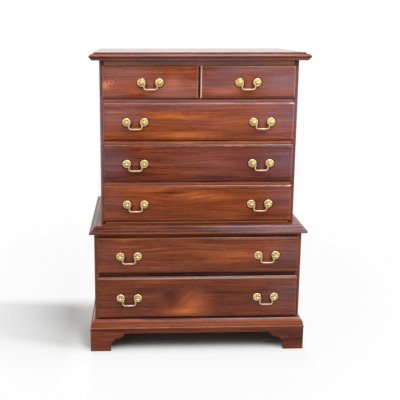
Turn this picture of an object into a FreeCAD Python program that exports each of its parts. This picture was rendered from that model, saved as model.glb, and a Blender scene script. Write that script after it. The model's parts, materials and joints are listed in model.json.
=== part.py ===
import FreeCAD, Part
import math
import os
import Sketcher

# Chest on chest: a two-drawer lower case on a bracket base, with an upper case of two small
# and three full drawers standing in the frame of its waist moulding.
# Millimetres, +Z up, the front faces -Y. The origin is on the floor, in the middle of the
# chest's outline, which the front posts of the pulls and the case back bound in depth.

doc = FreeCAD.newDocument("ChestOnChest")
sheet = doc.addObject("Spreadsheet::Sheet", "Sizes")

# ---------------------------------------------------------------- driving sizes
SIZES = [
    # the two cases
    ("lower_width", 912, "width of the lower case over its sides"),
    ("lower_depth", 480, "depth of the lower case, front edge to back"),
    ("side_setback", 30, "side of the upper case inside the side of the lower one"),
    ("upper_setback", 40, "front of the upper case behind the front of the lower one"),
    ("base_height", 105, "height of the bracket base boards"),
    ("side_thick", 20, "case side"),
    ("board_thick", 18, "case bottoms and the lower case's top board"),
    ("back_thick", 8, "case back panels"),
    ("back_rabbet", 10, "width of the rabbet that holds a back panel"),
    ("blade_thick", 20, "drawer blade, the rail between two rows"),
    ("blade_depth", 60, "drawer blade, front to back"),
    ("rail_depth", 22, "top and bottom front rails, front to back"),
    ("tenon_length", 9, "tenon of a blade or rail in the case side"),
    ("tenon_shoulder", 5, "shoulder round each tenon"),
    ("divider_thick", 24, "upright between the two small drawers"),
    # rows, floor to top
    ("lower_bottom_rail", 26.5, "rail under the bottom drawer"),
    ("opening_sixth", 191, "height of the bottom drawer's opening"),
    ("opening_fifth", 161, "height of the lower case's upper opening"),
    ("lower_top_rail", 24.5, "rail over the fifth row"),
    ("upper_bottom_rail", 18, "rail under the fourth row"),
    ("opening_upper", 163.5, "height of each full opening of the upper case"),
    ("opening_small", 138.5, "height of the two small openings"),
    ("upper_top_rail", 35, "rail under the top board"),
    # runners
    ("runner_width", 45, "side runners and kickers"),
    ("centre_runner_width", 80, "runner and kicker between the small drawers"),
    ("guide_height", 12, "guide strip between the small drawers"),
    # top board and its bed moulding
    ("top_thick", 25, "top board"),
    ("top_over", 41.4, "overhang of the top board at the front and both ends"),
    ("top_field", 19, "moulded margin of the top board"),
    ("top_step", 5.4, "step from the flat of the top down to its round"),
    ("top_round_height", 10, "widest part of the round above the underside"),
    ("top_under_inset", 6, "inset of the underside from the widest part"),
    ("top_upper_bend", 22, "radius of the upper part of the round"),
    ("bed_height", 9, "bed moulding under the top"),
    ("bed_foot", 24.4, "projection of the bed moulding at its lower edge"),
    ("bed_bend", 11, "radius of the bed moulding's round"),
    # waist moulding
    ("waist_height", 30, "waist moulding"),
    ("waist_over", 20, "projection of the waist moulding from the lower case"),
    ("waist_lip", 8.5, "straight part of its lip"),
    ("waist_lip_bend", 2, "rounding of the lip's upper edge"),
    ("waist_quirk", 3, "flat between the lip and the ogee"),
    ("waist_hollow_run", 11, "run of the ogee's hollow"),
    ("waist_hollow_rise", 6.5, "rise of the ogee's hollow"),
    ("waist_hollow_bend", 17, "radius of the ogee's hollow"),
    ("waist_round_run", 10.5, "run of the ogee's round"),
    ("waist_round_bend", 17, "radius of the ogee's round"),
    ("seat_gap", 0.5, "clearance round the foot of the upper case in the waist moulding"),
    # base moulding
    ("bead_height", 7, "bead at the foot of the base moulding"),
    ("bead_bend", 3.7, "radius of the bead"),
    ("bead_over", 20.5, "projection of the bead's flat sides"),
    ("fascia_over", 19, "projection of the flat band above the bead"),
    ("fascia_height", 14.5, "height of the flat band above the bead"),
    ("ovolo_over", 14, "projection of the ovolo at its lower edge"),
    ("ovolo_step", 2, "step under the ovolo"),
    ("ovolo_height", 17.5, "height of the ovolo"),
    ("ovolo_edge", 1.5, "upper edge of the ovolo on the case"),
    ("ovolo_bend", 20, "radius of the ovolo"),
    # bracket base
    ("bracket_over", 21, "face of the bracket boards beyond the case"),
    ("bracket_thick", 25, "bracket boards"),
    ("foot_width", 90, "width of a foot on the floor"),
    ("foot_straight", 32, "straight inner edge of a foot"),
    ("cusp_bend", 16, "radius of the hollow above it"),
    ("cusp_step", 10, "upright step above the hollow"),
    ("lobe_flat", 12, "nearly level run above the step"),
    ("lobe_tilt", 2, "rise of that run"),
    ("lobe_run", 34, "run of the round that meets the apron"),
    ("lobe_bend", 36, "radius of that round"),
    ("apron_height", 21, "plain apron between the feet"),
    ("rear_bracket_thick", 20, "brackets behind the rear feet"),
    ("rear_bracket_slope", 40, "run of the sloping edge of a rear bracket"),
    ("corner_block", 45, "square of the glue blocks behind the feet"),
    ("block_lift", 3, "glue blocks stop short of the floor by this"),
    ("strip_square", 18, "square of the glue strips behind the apron"),
    ("strip_length", 160, "length of each glue strip"),
    # drawer fronts and boxes
    ("front_lip", 9, "lipped front proud of the case"),
    ("tongue_depth", 13, "part of the front inside the opening"),
    ("lip_side", 9.5, "lip beyond the tongue at each end"),
    ("lip_top", 6, "lip above the tongue"),
    ("lip_edge", 2.5, "square edge left behind the thumbnail moulding"),
    ("thumb_width", 9, "width of the thumbnail moulding"),
    ("thumb_bend", 9.5, "radius of the thumbnail moulding"),
    ("quirk", 1.2, "step from the field of the front to its thumbnail"),
    ("drawer_side_gap", 1.5, "clearance at each side of a drawer"),
    ("drawer_top_gap", 2, "clearance over a drawer"),
    ("drawer_bottom_gap", 1, "clearance under a front"),
    ("drawer_back_gap", 12, "space behind a closed drawer"),
    ("drawer_side_thick", 11, "drawer sides"),
    ("drawer_back_thick", 11, "drawer backs"),
    ("drawer_bottom_thick", 6, "drawer bottoms"),
    ("groove_depth", 5, "groove for the drawer bottom"),
    ("groove_up", 9, "groove above the lower edge of the sides"),
    ("panel_gap", 0.5, "room for the bottom to move at each edge of its groove"),
    ("pin_tip", 5, "dovetail pin at its narrow side"),
    ("tail_flare", 2, "flare of a tail on each side over its length"),
    # pulls
    ("pull_centres", 76, "centres of the two posts of a pull"),
    ("pull_inset", 140, "middle of a pull from the end of a full-width front"),
    ("pull_drop", 1.5, "posts below the middle of the front"),
    ("rosette_radius", 17.6, "rosette"),
    ("rosette_edge", 1.2, "thickness of the rosette at its rim"),
    ("rim_width", 4.2, "rolled rim of the rosette"),
    ("rim_bend", 2.4, "radius of the rolled rim"),
    ("dish_height", 1.8, "floor of the dish behind the rim"),
    ("dish_bend", 14, "radius of the dish"),
    ("boss_radius", 6, "middle boss of the rosette"),
    ("boss_height", 4.2, "height of the boss"),
    ("shank_radius", 2.5, "threaded shank of a post"),
    ("shank_end", 3, "shank beyond its nut"),
    ("bore_gap", 0.25, "clearance round a shank"),
    ("neck_radius", 3.3, "neck of a post"),
    ("head_radius", 5.2, "ball head of a post"),
    ("pivot_out", 13, "hinge line of the bail in front of the drawer face"),
    ("nut_radius", 5.5, "nut, over its corners"),
    ("nut_thick", 3, "nut"),
    ("pin_radius", 1.8, "ends of the bail"),
    ("pin_gap", 0.08, "running clearance of a bail end in its post"),
    ("head_gap", 0.6, "bail's shoulder clear of the post head"),
    ("wire_radius", 2.6, "legs of the bail"),
    ("grip_radius", 3.4, "middle of the grip"),
    ("grip_swell", 14.5, "half the swelled length of the grip"),
    ("neck_out", 25, "narrowest part of the necks from the middle of the pull"),
    ("neck_drop", 8.5, "height over which the necks flare out to the legs"),
    ("leg_out", 28.3, "legs from the middle of the pull"),
    ("bail_drop", 29.2, "grip below the hinge line"),
    ("bail_bend", 11.5, "lower bends of the bail"),
    # working allowance
    ("cut_over", 1, "how far a cutting outline stands outside the wood"),
]

for row, (alias, size, meaning) in enumerate(SIZES, start=1):
    sheet.set(f"A{row}", alias)
    sheet.set(f"B{row}", str(size))
    sheet.setAlias(f"B{row}", alias)
    sheet.set(f"C{row}", meaning)
doc.recompute()


def size(alias):
    """Expression that names one size of the sheet."""
    return f"Sizes.{alias}"


def number(expression):
    """Value of an expression now."""
    return float(sheet.evalExpression(expression))


# ---------------------------------------------------------------- levels and faces, as expressions
S = {alias: size(alias) for alias, _, _ in SIZES}

POST_REACH = f"({S['front_lip']} + {S['pivot_out']} + {S['head_radius']})"
LOWER_FRONT = f"(-({S['lower_depth']} - {POST_REACH}) / 2)"
UPPER_FRONT = f"({LOWER_FRONT} + {S['upper_setback']})"
BACK = f"({LOWER_FRONT} + {S['lower_depth']})"
UPPER_DEPTH = f"({S['lower_depth']} - {S['upper_setback']})"
LOWER_HALF = f"({S['lower_width']} / 2)"
UPPER_HALF = f"({LOWER_HALF} - {S['side_setback']})"
LOWER_INNER = f"({LOWER_HALF} - {S['side_thick']})"
UPPER_INNER = f"({UPPER_HALF} - {S['side_thick']})"

SIXTH_FLOOR = f"({S['base_height']} + {S['board_thick']} + {S['lower_bottom_rail']})"
FIFTH_FLOOR = f"({SIXTH_FLOOR} + {S['opening_sixth']} + {S['blade_thick']})"
LOWER_RAIL = f"({FIFTH_FLOOR} + {S['opening_fifth']})"
LOWER_TOP = f"({LOWER_RAIL} + {S['lower_top_rail']})"
FOURTH_FLOOR = f"({LOWER_TOP} + {S['board_thick']} + {S['upper_bottom_rail']})"
THIRD_FLOOR = f"({FOURTH_FLOOR} + {S['opening_upper']} + {S['blade_thick']})"
SECOND_FLOOR = f"({THIRD_FLOOR} + {S['opening_upper']} + {S['blade_thick']})"
SMALL_FLOOR = f"({SECOND_FLOOR} + {S['opening_upper']} + {S['blade_thick']})"
UPPER_RAIL = f"({SMALL_FLOOR} + {S['opening_small']})"
UPPER_TOP = f"({UPPER_RAIL} + {S['upper_top_rail']})"

parts = []


# ---------------------------------------------------------------- helpers
def place(item, at):
    """Bind the item's position to three expressions."""
    for axis, expression in zip("xyz", at):
        item.setExpression(f".Placement.Base.{axis}", expression)


def turn(item, degrees):
    """Turn the item about +Z."""
    item.Placement.Rotation = FreeCAD.Rotation(FreeCAD.Vector(0, 0, 1), degrees)


def keep(item, label):
    """Name the item and put it on the list of sub-parts."""
    item.Label = label
    parts.append(item)
    return item


def new_body(name, at=None):
    body = doc.addObject("PartDesign::Body", name)
    if at:
        place(body, at)
    return body


def origin_feature(body, role):
    return next(item for item in body.Origin.OriginFeatures if item.Role == role)


def arc_edge(start, end, radius):
    """Arc from start to end, turning left for a positive radius and right for a negative one.

    Returns the edge and the numbers of its first and last points, because a circle's arc
    always runs to the left.
    """
    chord = end - start
    middle = (start + end) * 0.5
    rise = math.sqrt(radius * radius - chord.Length * chord.Length / 4)
    across = FreeCAD.Vector(-chord.y, chord.x, 0).normalize()
    centre = middle + across * math.copysign(rise, radius)
    circle = Part.Circle(centre, FreeCAD.Vector(0, 0, 1), abs(radius))
    first = math.atan2(start.y - centre.y, start.x - centre.x)
    last = math.atan2(end.y - centre.y, end.x - centre.x)
    if radius > 0:
        return Part.ArcOfCircle(circle, first, last), 1, 2
    return Part.ArcOfCircle(circle, last, first), 2, 1


def new_sketch(body, plane, name, offset=None):
    sketch = body.newObject("Sketcher::SketchObject", name)
    sketch.AttachmentSupport = (origin_feature(body, plane), [""])
    sketch.MapMode = "FlatFace"
    if offset:
        sketch.setExpression(".AttachmentOffset.Base.z", offset)
    return sketch


def draw_path(sketch, corners, closed=True):
    """Line and arc outline through corners, each fixed from the sketch's origin.

    A corner is (across, up) or (across, up, bend): with a bend, the edge to the next corner
    is an arc of that radius, turning left if it is written "+..." and right if "-...".
    """
    begin = sketch.GeometryCount
    points = [FreeCAD.Vector(number(corner[0]), number(corner[1]), 0) for corner in corners]
    count = len(corners) if closed else len(corners) - 1
    constraints = []
    ends = []
    for index in range(count):
        start = points[index]
        end = points[(index + 1) % len(points)]
        geometry = begin + index
        if len(corners[index]) == 3:
            bend = corners[index][2]
            edge, first, last = arc_edge(start, end, number(bend))
            sketch.addGeometry(edge, False)
            constraints.append(bound("Radius", f"bend{geometry}", f"abs({bend})", geometry))
        else:
            first, last = 1, 2
            sketch.addGeometry(Part.LineSegment(start, end), False)
        ends.append((geometry, first, last))
    for index, (geometry, first, last) in enumerate(ends):
        fixed = [(index, geometry, first)]
        if index + 1 < count or closed:
            following = ends[(index + 1) % count]
            joined = Sketcher.Constraint("Coincident", geometry, last, following[0], following[1])
            constraints.append((joined, None))
        else:
            fixed.append((index + 1, geometry, last))
        for corner, item, point in fixed:
            across, up = corners[corner][0], corners[corner][1]
            constraints.append(
                bound("DistanceX", f"across{begin}_{corner}", across, -1, 1, item, point))
            constraints.append(bound("DistanceY", f"up{begin}_{corner}", up, -1, 1, item, point))
    add_bound(sketch, constraints)


def draw_circle(sketch, across, up, radius):
    centre = FreeCAD.Vector(number(across), number(up), 0)
    circle = Part.Circle(centre, FreeCAD.Vector(0, 0, 1), number(radius))
    item = sketch.addGeometry(circle, False)
    add_bound(sketch, [
        bound("DistanceX", f"across{item}", across, -1, 1, item, 3),
        bound("DistanceY", f"up{item}", up, -1, 1, item, 3),
        bound("Radius", f"radius{item}", radius, item),
    ])


def bound(kind, name, expression, *where):
    """A named constraint at its value now, with the expression that it follows."""
    constraint = Sketcher.Constraint(kind, *where, number(expression))
    constraint.Name = name
    return constraint, expression


def add_bound(sketch, constraints):
    """Add constraints to a sketch, then bind the named ones to their expressions."""
    sketch.addConstraint([constraint for constraint, _ in constraints])
    for constraint, expression in constraints:
        if expression:
            sketch.setExpression(f"Constraints.{constraint.Name}", expression)


def outline(body, plane, corners, name, offset=None):
    sketch = new_sketch(body, plane, name, offset)
    draw_path(sketch, corners)
    return sketch


def rectangle(low, high):
    """Corners of a rectangle from its low and high (across, up) corners."""
    return [(low[0], low[1]), (high[0], low[1]), (high[0], high[1]), (low[0], high[1])]


def pad(body, sketch, length, name, back=False):
    feature = body.newObject("PartDesign::Pad", name)
    feature.Profile = sketch
    feature.setExpression("Length", length)
    feature.Reversed = back
    return feature


def cut_through(body, sketch, name):
    """Cut the sketch out of the whole body, both ways."""
    feature = body.newObject("PartDesign::Pocket", name)
    feature.Profile = sketch
    feature.Type = "ThroughAll"
    feature.Midplane = True
    return feature


def cut_deep(body, sketch, depth, name, back=False):
    """Cut the sketch to a depth, against its normal, or along it when back is set."""
    feature = body.newObject("PartDesign::Pocket", name)
    feature.Profile = sketch
    feature.setExpression("Length", depth)
    feature.Reversed = back
    return feature


def repeat_up(body, feature, pitch, count, name):
    """Repeat a feature upwards, count times in all."""
    pattern = body.newObject("PartDesign::LinearPattern", name)
    pattern.Originals = [feature]
    pattern.Direction = (origin_feature(body, "Z_Axis"), [""])
    pattern.Occurrences = count
    pattern.setExpression("Length", f"{pitch} * {count - 1}")
    body.Tip = pattern
    return pattern


def revolve(body, sketch, axis, name):
    feature = body.newObject("PartDesign::Revolution", name)
    feature.Profile = sketch
    feature.ReferenceAxis = axis
    feature.Angle = 360
    return feature


def board(name, dimensions, at):
    """Plain board from its low corner."""
    body = new_body(name, at)
    face = outline(body, "XY_Plane", rectangle(("0", "0"), dimensions[:2]), f"{name}_face")
    pad(body, face, dimensions[2], f"{name}_pad")
    return body


def group(label, members, at=None):
    """Several pieces that are handed over under one name."""
    compound = doc.addObject("Part::Compound", label)
    compound.Links = members
    if at:
        place(compound, at)
    return keep(compound, label)


def copy_of(item, name, at):
    link = doc.addObject("App::Link", name)
    link.LinkedObject = item
    place(link, at)
    return link


def mirrored(item, name):
    """The same piece on the other side of the chest or drawer."""
    mirror = doc.addObject("Part::Mirroring", name)
    mirror.Source = item
    mirror.Normal = (1, 0, 0)
    mirror.Base = (0, 0, 0)
    return mirror


# ---------------------------------------------------------------- case joinery
def front_rail(name, half, bottom, height, depth, front):
    """Rail or blade between the case sides, with a shouldered tenon at each end."""
    body = new_body(name, ("0", front, bottom))
    face = outline(body, "XY_Plane", rectangle((f"-{half}", "0"), (half, depth)), f"{name}_face")
    pad(body, face, height, f"{name}_pad")
    reach = f"({half} + {S['tenon_length']})"
    shoulder = S["tenon_shoulder"]
    tenon = outline(
        body, "XY_Plane",
        rectangle((f"-{reach}", shoulder), (reach, f"{depth} - {shoulder}")),
        f"{name}_tenon", offset=shoulder)
    pad(body, tenon, f"{height} - 2 * {shoulder}", f"{name}_tenons")
    return body


def case_side(name, at, depth, height, rails):
    """Left case side: rabbeted for the back, and mortised for the rails of its case."""
    body = new_body(name, at)
    thick = S["side_thick"]
    face = outline(body, "XY_Plane", rectangle(("0", "0"), (thick, depth)), f"{name}_face")
    pad(body, face, height, f"{name}_pad")
    rabbet = outline(
        body, "XY_Plane",
        rectangle((f"{thick} - {S['back_rabbet']}", f"{depth} - {S['back_thick']}"),
                  (f"{thick} + {S['cut_over']}", f"{depth} + {S['cut_over']}")),
        f"{name}_rabbet")
    cut_through(body, rabbet, f"{name}_rabbet_cut")
    mortises = new_sketch(body, "YZ_Plane", f"{name}_mortises", offset=thick)
    shoulder = S["tenon_shoulder"]
    for bottom, rail_height, rail_deep in rails:
        low = (shoulder, f"{bottom} - {at[2]} + {shoulder}")
        high = (f"{rail_deep} - {shoulder}", f"{bottom} - {at[2]} + {rail_height} - {shoulder}")
        draw_path(mortises, rectangle(low, high))
    cut_deep(body, mortises, S["tenon_length"], f"{name}_mortise_cut")
    return body


# ---------------------------------------------------------------- lower case
LOWER_RAILS = [
    (f"({SIXTH_FLOOR} - {S['lower_bottom_rail']})", S["lower_bottom_rail"], S["rail_depth"]),
    (f"({FIFTH_FLOOR} - {S['blade_thick']})", S["blade_thick"], S["blade_depth"]),
    (LOWER_RAIL, S["lower_top_rail"], S["rail_depth"]),
]
UPPER_RAILS = [
    (f"({FOURTH_FLOOR} - {S['upper_bottom_rail']})", S["upper_bottom_rail"], S["rail_depth"]),
    (f"({THIRD_FLOOR} - {S['blade_thick']})", S["blade_thick"], S["blade_depth"]),
    (f"({SECOND_FLOOR} - {S['blade_thick']})", S["blade_thick"], S["blade_depth"]),
    (f"({SMALL_FLOOR} - {S['blade_thick']})", S["blade_thick"], S["blade_depth"]),
    (UPPER_RAIL, S["upper_top_rail"], S["rail_depth"]),
]


def build_case(case, half, inner, front, depth, bottom, top, rails):
    """Sides, back, bottom board and rails of one case."""
    left_at = (f"-{half}", front, bottom)
    left = case_side(f"{case}_side", left_at, depth, f"({top} - {bottom})", rails)
    keep(left, f"{case}_side_left")
    keep(mirrored(left, f"{case}_side_mirror"), f"{case}_side_right")
    panel_half = f"({inner} + {S['back_rabbet']})"
    back = board(
        f"{case}_back_panel", (f"2 * {panel_half}", S["back_thick"], f"({top} - {bottom})"),
        (f"-{panel_half}", f"{BACK} - {S['back_thick']}", bottom))
    keep(back, f"{case}_back")
    floor = board(
        f"{case}_bottom_board",
        (f"2 * {inner}", f"{depth} - {S['back_thick']}", S["board_thick"]),
        (f"-{inner}", front, bottom))
    keep(floor, f"{case}_bottom")
    members = [front_rail(f"{case}_rail_{index}", inner, level, height, deep, front)
               for index, (level, height, deep) in enumerate(rails)]
    group(f"{case}_rails", members)


def build_runners(case, inner, front, depth, runners, kickers, centres):
    """Runners under the drawer sides and kickers over them, housed between rail and back."""
    members = []
    for index, (level, height, begin) in enumerate(runners + kickers):
        length = f"({depth} - {S['back_thick']} - {begin})"
        run = board(
            f"{case}_run_{index}", (S["runner_width"], length, height),
            (f"-{inner}", f"{front} + {begin}", level))
        members += [run, mirrored(run, f"{case}_run_{index}_mirror")]
    for index, (level, height, begin, width) in enumerate(centres):
        length = f"({depth} - {S['back_thick']} - {begin})"
        members.append(board(
            f"{case}_centre_{index}", (width, length, height),
            (f"-{width} / 2", f"{front} + {begin}", level)))
    group(f"{case}_runners", members)


def build_lower_case():
    build_case("lower", LOWER_HALF, LOWER_INNER, LOWER_FRONT, S["lower_depth"],
               S["base_height"], LOWER_TOP, LOWER_RAILS)
    top_board = board(
        "lower_top_board",
        (f"2 * {LOWER_INNER}", f"{S['lower_depth']} - {S['back_thick']} - {S['rail_depth']}",
         S["board_thick"]),
        (f"-{LOWER_INNER}", f"{LOWER_FRONT} + {S['rail_depth']}",
         f"{LOWER_TOP} - {S['board_thick']}"))
    keep(top_board, "lower_top")
    thick, blade, rail = S["blade_thick"], S["blade_depth"], S["rail_depth"]
    runners = [(f"({SIXTH_FLOOR} - {thick})", thick, rail),
               (f"({FIFTH_FLOOR} - {thick})", thick, blade)]
    kickers = [(LOWER_RAIL, f"({S['lower_top_rail']} - {S['board_thick']})", rail)]
    build_runners("lower", LOWER_INNER, LOWER_FRONT, S["lower_depth"], runners, kickers, [])


def build_upper_case():
    build_case("upper", UPPER_HALF, UPPER_INNER, UPPER_FRONT, UPPER_DEPTH,
               LOWER_TOP, UPPER_TOP, UPPER_RAILS)
    thick, blade, rail = S["blade_thick"], S["blade_depth"], S["rail_depth"]
    bottom_runner = (f"({FOURTH_FLOOR} - {S['upper_bottom_rail']})", S["upper_bottom_rail"], rail)
    runners = [bottom_runner] + [
        (f"({level} - {thick})", thick, blade) for level in (THIRD_FLOOR, SECOND_FLOOR, SMALL_FLOOR)]
    kickers = [(UPPER_RAIL, thick, rail)]
    wide = S["centre_runner_width"]
    centres = [(f"({SMALL_FLOOR} - {thick})", thick, blade, wide),
               (SMALL_FLOOR, S["guide_height"], blade, S["divider_thick"]),
               (UPPER_RAIL, thick, rail, wide)]
    build_runners("upper", UPPER_INNER, UPPER_FRONT, UPPER_DEPTH, runners, kickers, centres)
    divider = board(
        "divider", (S["divider_thick"], blade, S["opening_small"]),
        (f"-{S['divider_thick']} / 2", UPPER_FRONT, SMALL_FLOOR))
    keep(divider, "upper_divider")


# ---------------------------------------------------------------- top and mouldings
def top_edge_cut(edge, inward, base, sign):
    """Outline of the wood taken off one edge of the top board.

    edge is the widest line of the round, inward is "+" or "-", and sign makes the arcs turn
    the right way for the side that the edge is on. The lower arc is upright at its widest.
    """
    over = S["cut_over"]
    outer = f"{edge} {'-' if inward == '+' else '+'} 2 * {over}"
    inset = S["top_under_inset"]
    lower_bend = f"(({S['top_round_height']}^2 + {inset}^2) / (2 * {inset}))"
    under = f"{edge} {inward} {inset}"
    field = f"{edge} {inward} {S['top_field']}"
    return [
        (under, base, f"{sign}{lower_bend}"),
        (edge, f"{base} + {S['top_round_height']}", f"{sign}{S['top_upper_bend']}"),
        (field, f"{base} + {S['top_thick']} - {S['top_step']}"),
        (field, f"{base} + {S['top_thick']} + {over}"),
        (outer, f"{base} + {S['top_thick']} + {over}"),
        (outer, f"{base} - {over}"),
        (under, f"{base} - {over}"),
    ]


def build_top():
    """Top board with a stepped round on its front and both ends."""
    body = new_body("top_board", ("0", UPPER_FRONT, UPPER_TOP))
    half = f"({UPPER_HALF} + {S['top_over']})"
    wide = f"({half} + {S['cut_over']})"
    ahead = f"({S['top_over']} + {S['cut_over']})"
    face = outline(body, "XY_Plane",
                   rectangle((f"-{wide}", f"-{ahead}"), (wide, UPPER_DEPTH)), "top_face")
    pad(body, face, S["top_thick"], "top_pad")
    ends = new_sketch(body, "XZ_Plane", "top_ends")
    draw_path(ends, top_edge_cut(f"-{half}", "+", "0", "-"))
    draw_path(ends, top_edge_cut(half, "-", "0", "+"))
    cut_through(body, ends, "top_end_moulding")
    front = outline(body, "YZ_Plane", top_edge_cut(f"-{S['top_over']}", "+", "0", "-"), "top_front")
    cut_through(body, front, "top_front_moulding")
    keep(body, "upper_top")


def moulding_length(name, profile, half, reach, mitre, both_ends):
    """A length of moulding along X, outwards towards -Y, mitred where it turns a corner.

    half is half its length along the case, reach its greatest projection, and mitre how far
    behind the case face the mitre runs on. Without both_ends only the +X end is mitred.
    """
    body = new_body(name)
    over = S["cut_over"]
    run = f"({half} + {reach} + {over})"
    section = outline(body, "YZ_Plane", [(f"-({out})", up) + tuple(bend) for out, up, *bend in profile],
                      f"{name}_section", offset=f"-{run}")
    pad(body, section, f"2 * {run}", f"{name}_pad")
    ends = new_sketch(body, "XY_Plane", f"{name}_mitres")
    beyond = f"({run} + {over})"
    inside = f"({half} - {mitre})"
    depth = f"({mitre} + {S['lower_depth']})"
    right = [(run, f"-({reach} + {over})"), (inside, mitre), (inside, depth), (beyond, depth),
             (beyond, f"-({reach} + {over})")]
    draw_path(ends, right)
    if both_ends:
        draw_path(ends, [(f"-{across}", up) for across, up in right])
    else:
        draw_path(ends, rectangle((f"-{beyond}", f"-({reach} + {over})"), (f"-{half}", depth)))
    cut_through(body, ends, f"{name}_mitre_cut")
    return body


def moulded_frame(label, front_profile, side_profile, case_half, front, reach, mitre, level):
    """Front length and two returns of a moulding round the front and ends of a case."""
    ahead = moulding_length(f"{label}_front", front_profile, case_half, reach, mitre, True)
    place(ahead, ("0", front, level))
    side_half = f"(({BACK} - {front}) / 2)"
    left = moulding_length(f"{label}_return", side_profile, side_half, reach, mitre, False)
    turn(left, -90)
    place(left, (f"-{case_half}", f"{front} + {side_half}", level))
    group(label, [ahead, left, mirrored(left, f"{label}_return_mirror")])


def build_bed_moulding():
    profile = [
        ("0", "0"),
        (S["bed_foot"], "0", f"-{S['bed_bend']}"),
        (f"{S['top_over']} - {S['top_under_inset']}", S["bed_height"]),
        ("0", S["bed_height"]),
    ]
    moulded_frame("cornice_moulding", profile, profile, UPPER_HALF, UPPER_FRONT, S["top_over"],
                  "0", f"{UPPER_TOP} - {S['bed_height']}")


def waist_profile(inner):
    """Section of the waist moulding: lip, quirk and ogee, with a flat up to the upper case."""
    lip_top = f"({S['waist_lip']} + {S['waist_lip_bend']})"
    quirk = f"({S['waist_over']} - {S['waist_lip_bend']} - {S['waist_quirk']})"
    turn_out = f"({quirk} - {S['waist_hollow_run']})"
    turn_up = f"({lip_top} + {S['waist_hollow_rise']})"
    return [
        (f"-{inner}", "0"),
        (S["waist_over"], "0"),
        (S["waist_over"], S["waist_lip"], f"-{S['waist_lip_bend']}"),
        (f"{S['waist_over']} - {S['waist_lip_bend']}", lip_top),
        (quirk, lip_top, f"{S['waist_hollow_bend']}"),
        (turn_out, turn_up, f"-{S['waist_round_bend']}"),
        (f"{turn_out} - {S['waist_round_run']}", S["waist_height"]),
        (f"-{inner}", S["waist_height"]),
    ]


def build_waist_moulding():
    side_inner = f"({LOWER_HALF} - {UPPER_HALF} - {S['seat_gap']})"
    front_inner = f"({S['upper_setback']} - {S['seat_gap']})"
    moulded_frame("waist_moulding", waist_profile(front_inner), waist_profile(side_inner),
                  LOWER_HALF, LOWER_FRONT, S["waist_over"], side_inner, LOWER_TOP)


def build_base_moulding():
    band = f"({S['bead_height']} + {S['fascia_height']})"
    ovolo = f"({band} + {S['ovolo_step']})"
    top = f"({ovolo} + {S['ovolo_height']})"
    profile = [
        ("0", "0"),
        (S["bead_over"], "0", f"-{S['bead_bend']}"),
        (S["bead_over"], S["bead_height"]),
        (S["fascia_over"], S["bead_height"]),
        (S["fascia_over"], band),
        (S["ovolo_over"], band),
        (S["ovolo_over"], ovolo, f"-{S['ovolo_bend']}"),
        (S["ovolo_edge"], top),
        ("0", top),
    ]
    reach = f"({S['bead_over']} + {S['bead_bend']})"
    moulded_frame("base_moulding", profile, profile, LOWER_HALF, LOWER_FRONT, reach, "0",
                  S["base_height"])


# ---------------------------------------------------------------- bracket base
def foot_scroll(corner, inward):
    """Scrolled inner edge of a foot, from the floor up to the apron."""
    turn_in = "-" if inward == "+" else "+"
    turn_out = "+" if inward == "+" else "-"
    foot = f"{corner} {inward} {S['foot_width']}"
    cusp = f"{foot} {inward} {S['cusp_bend']}"
    flat = f"{cusp} {inward} {S['lobe_flat']}"
    step = f"({S['foot_straight']} + {S['cusp_bend']} + {S['cusp_step']})"
    return [
        (foot, f"-{S['cut_over']}"),
        (foot, S["foot_straight"], f"{turn_in}{S['cusp_bend']}"),
        (cusp, f"{S['foot_straight']} + {S['cusp_bend']}"),
        (cusp, step),
        (flat, f"{step} + {S['lobe_tilt']}", f"{turn_out}{S['lobe_bend']}"),
        (f"{flat} {inward} {S['lobe_run']}", f"{S['base_height']} - {S['apron_height']}"),
    ]


def bracket_board(name, half, both_ends):
    """Bracket base board along X: mitred at the corners, scrolled between its two feet."""
    inner = f"({S['bracket_thick']} - {S['bracket_over']})"
    profile = [
        (f"-{inner}", "0"),
        (S["bracket_over"], "0"),
        (S["bracket_over"], S["base_height"]),
        (f"-{inner}", S["base_height"]),
    ]
    body = moulding_length(name, profile, half, S["bracket_over"], inner, both_ends)
    far = f"({half} + {S['bracket_over']})"
    near = far if both_ends else half
    right = foot_scroll(far, "-")
    left = foot_scroll(f"-{near}", "+")
    scroll = outline(body, "XZ_Plane", left + reversed_path(right), f"{name}_scroll")
    cut_through(body, scroll, f"{name}_scroll_cut")
    return body


def reversed_path(corners, flip=True):
    """The same path walked backwards; flip turns each arc the other way, as it then must."""
    result = []
    for index in range(len(corners) - 1, -1, -1):
        across, up = corners[index][:2]
        before = corners[index - 1] if index else ()
        if len(before) == 3:
            bend = before[2]
            flipped = f"-{bend[1:]}" if bend[0] == "+" else f"+{bend[1:]}"
            result.append((across, up, flipped if flip else bend))
        else:
            result.append((across, up))
    return result


def build_bracket_base():
    front = bracket_board("bracket_front", LOWER_HALF, True)
    place(front, ("0", LOWER_FRONT, "0"))
    side_half = f"({S['lower_depth']} / 2)"
    left = bracket_board("bracket_end", side_half, False)
    turn(left, -90)
    place(left, (f"-{LOWER_HALF}", f"{LOWER_FRONT} + {side_half}", "0"))
    inner = f"({LOWER_HALF} + {S['bracket_over']} - {S['bracket_thick']})"
    rear = new_body("rear_bracket", (f"-{inner}", BACK, "0"))
    width = S["foot_width"]
    shape = outline(rear, "XZ_Plane", [
        ("0", "0"),
        (width, "0"),
        (width, S["foot_straight"]),
        (f"{width} + {S['rear_bracket_slope']}", S["base_height"]),
        ("0", S["base_height"]),
    ], "rear_bracket_shape")
    pad(rear, shape, S["rear_bracket_thick"], "rear_bracket_pad")
    group("bracket_base", [front, left, mirrored(left, "bracket_end_mirror"),
                           rear, mirrored(rear, "rear_bracket_mirror")])
    return inner


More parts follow.
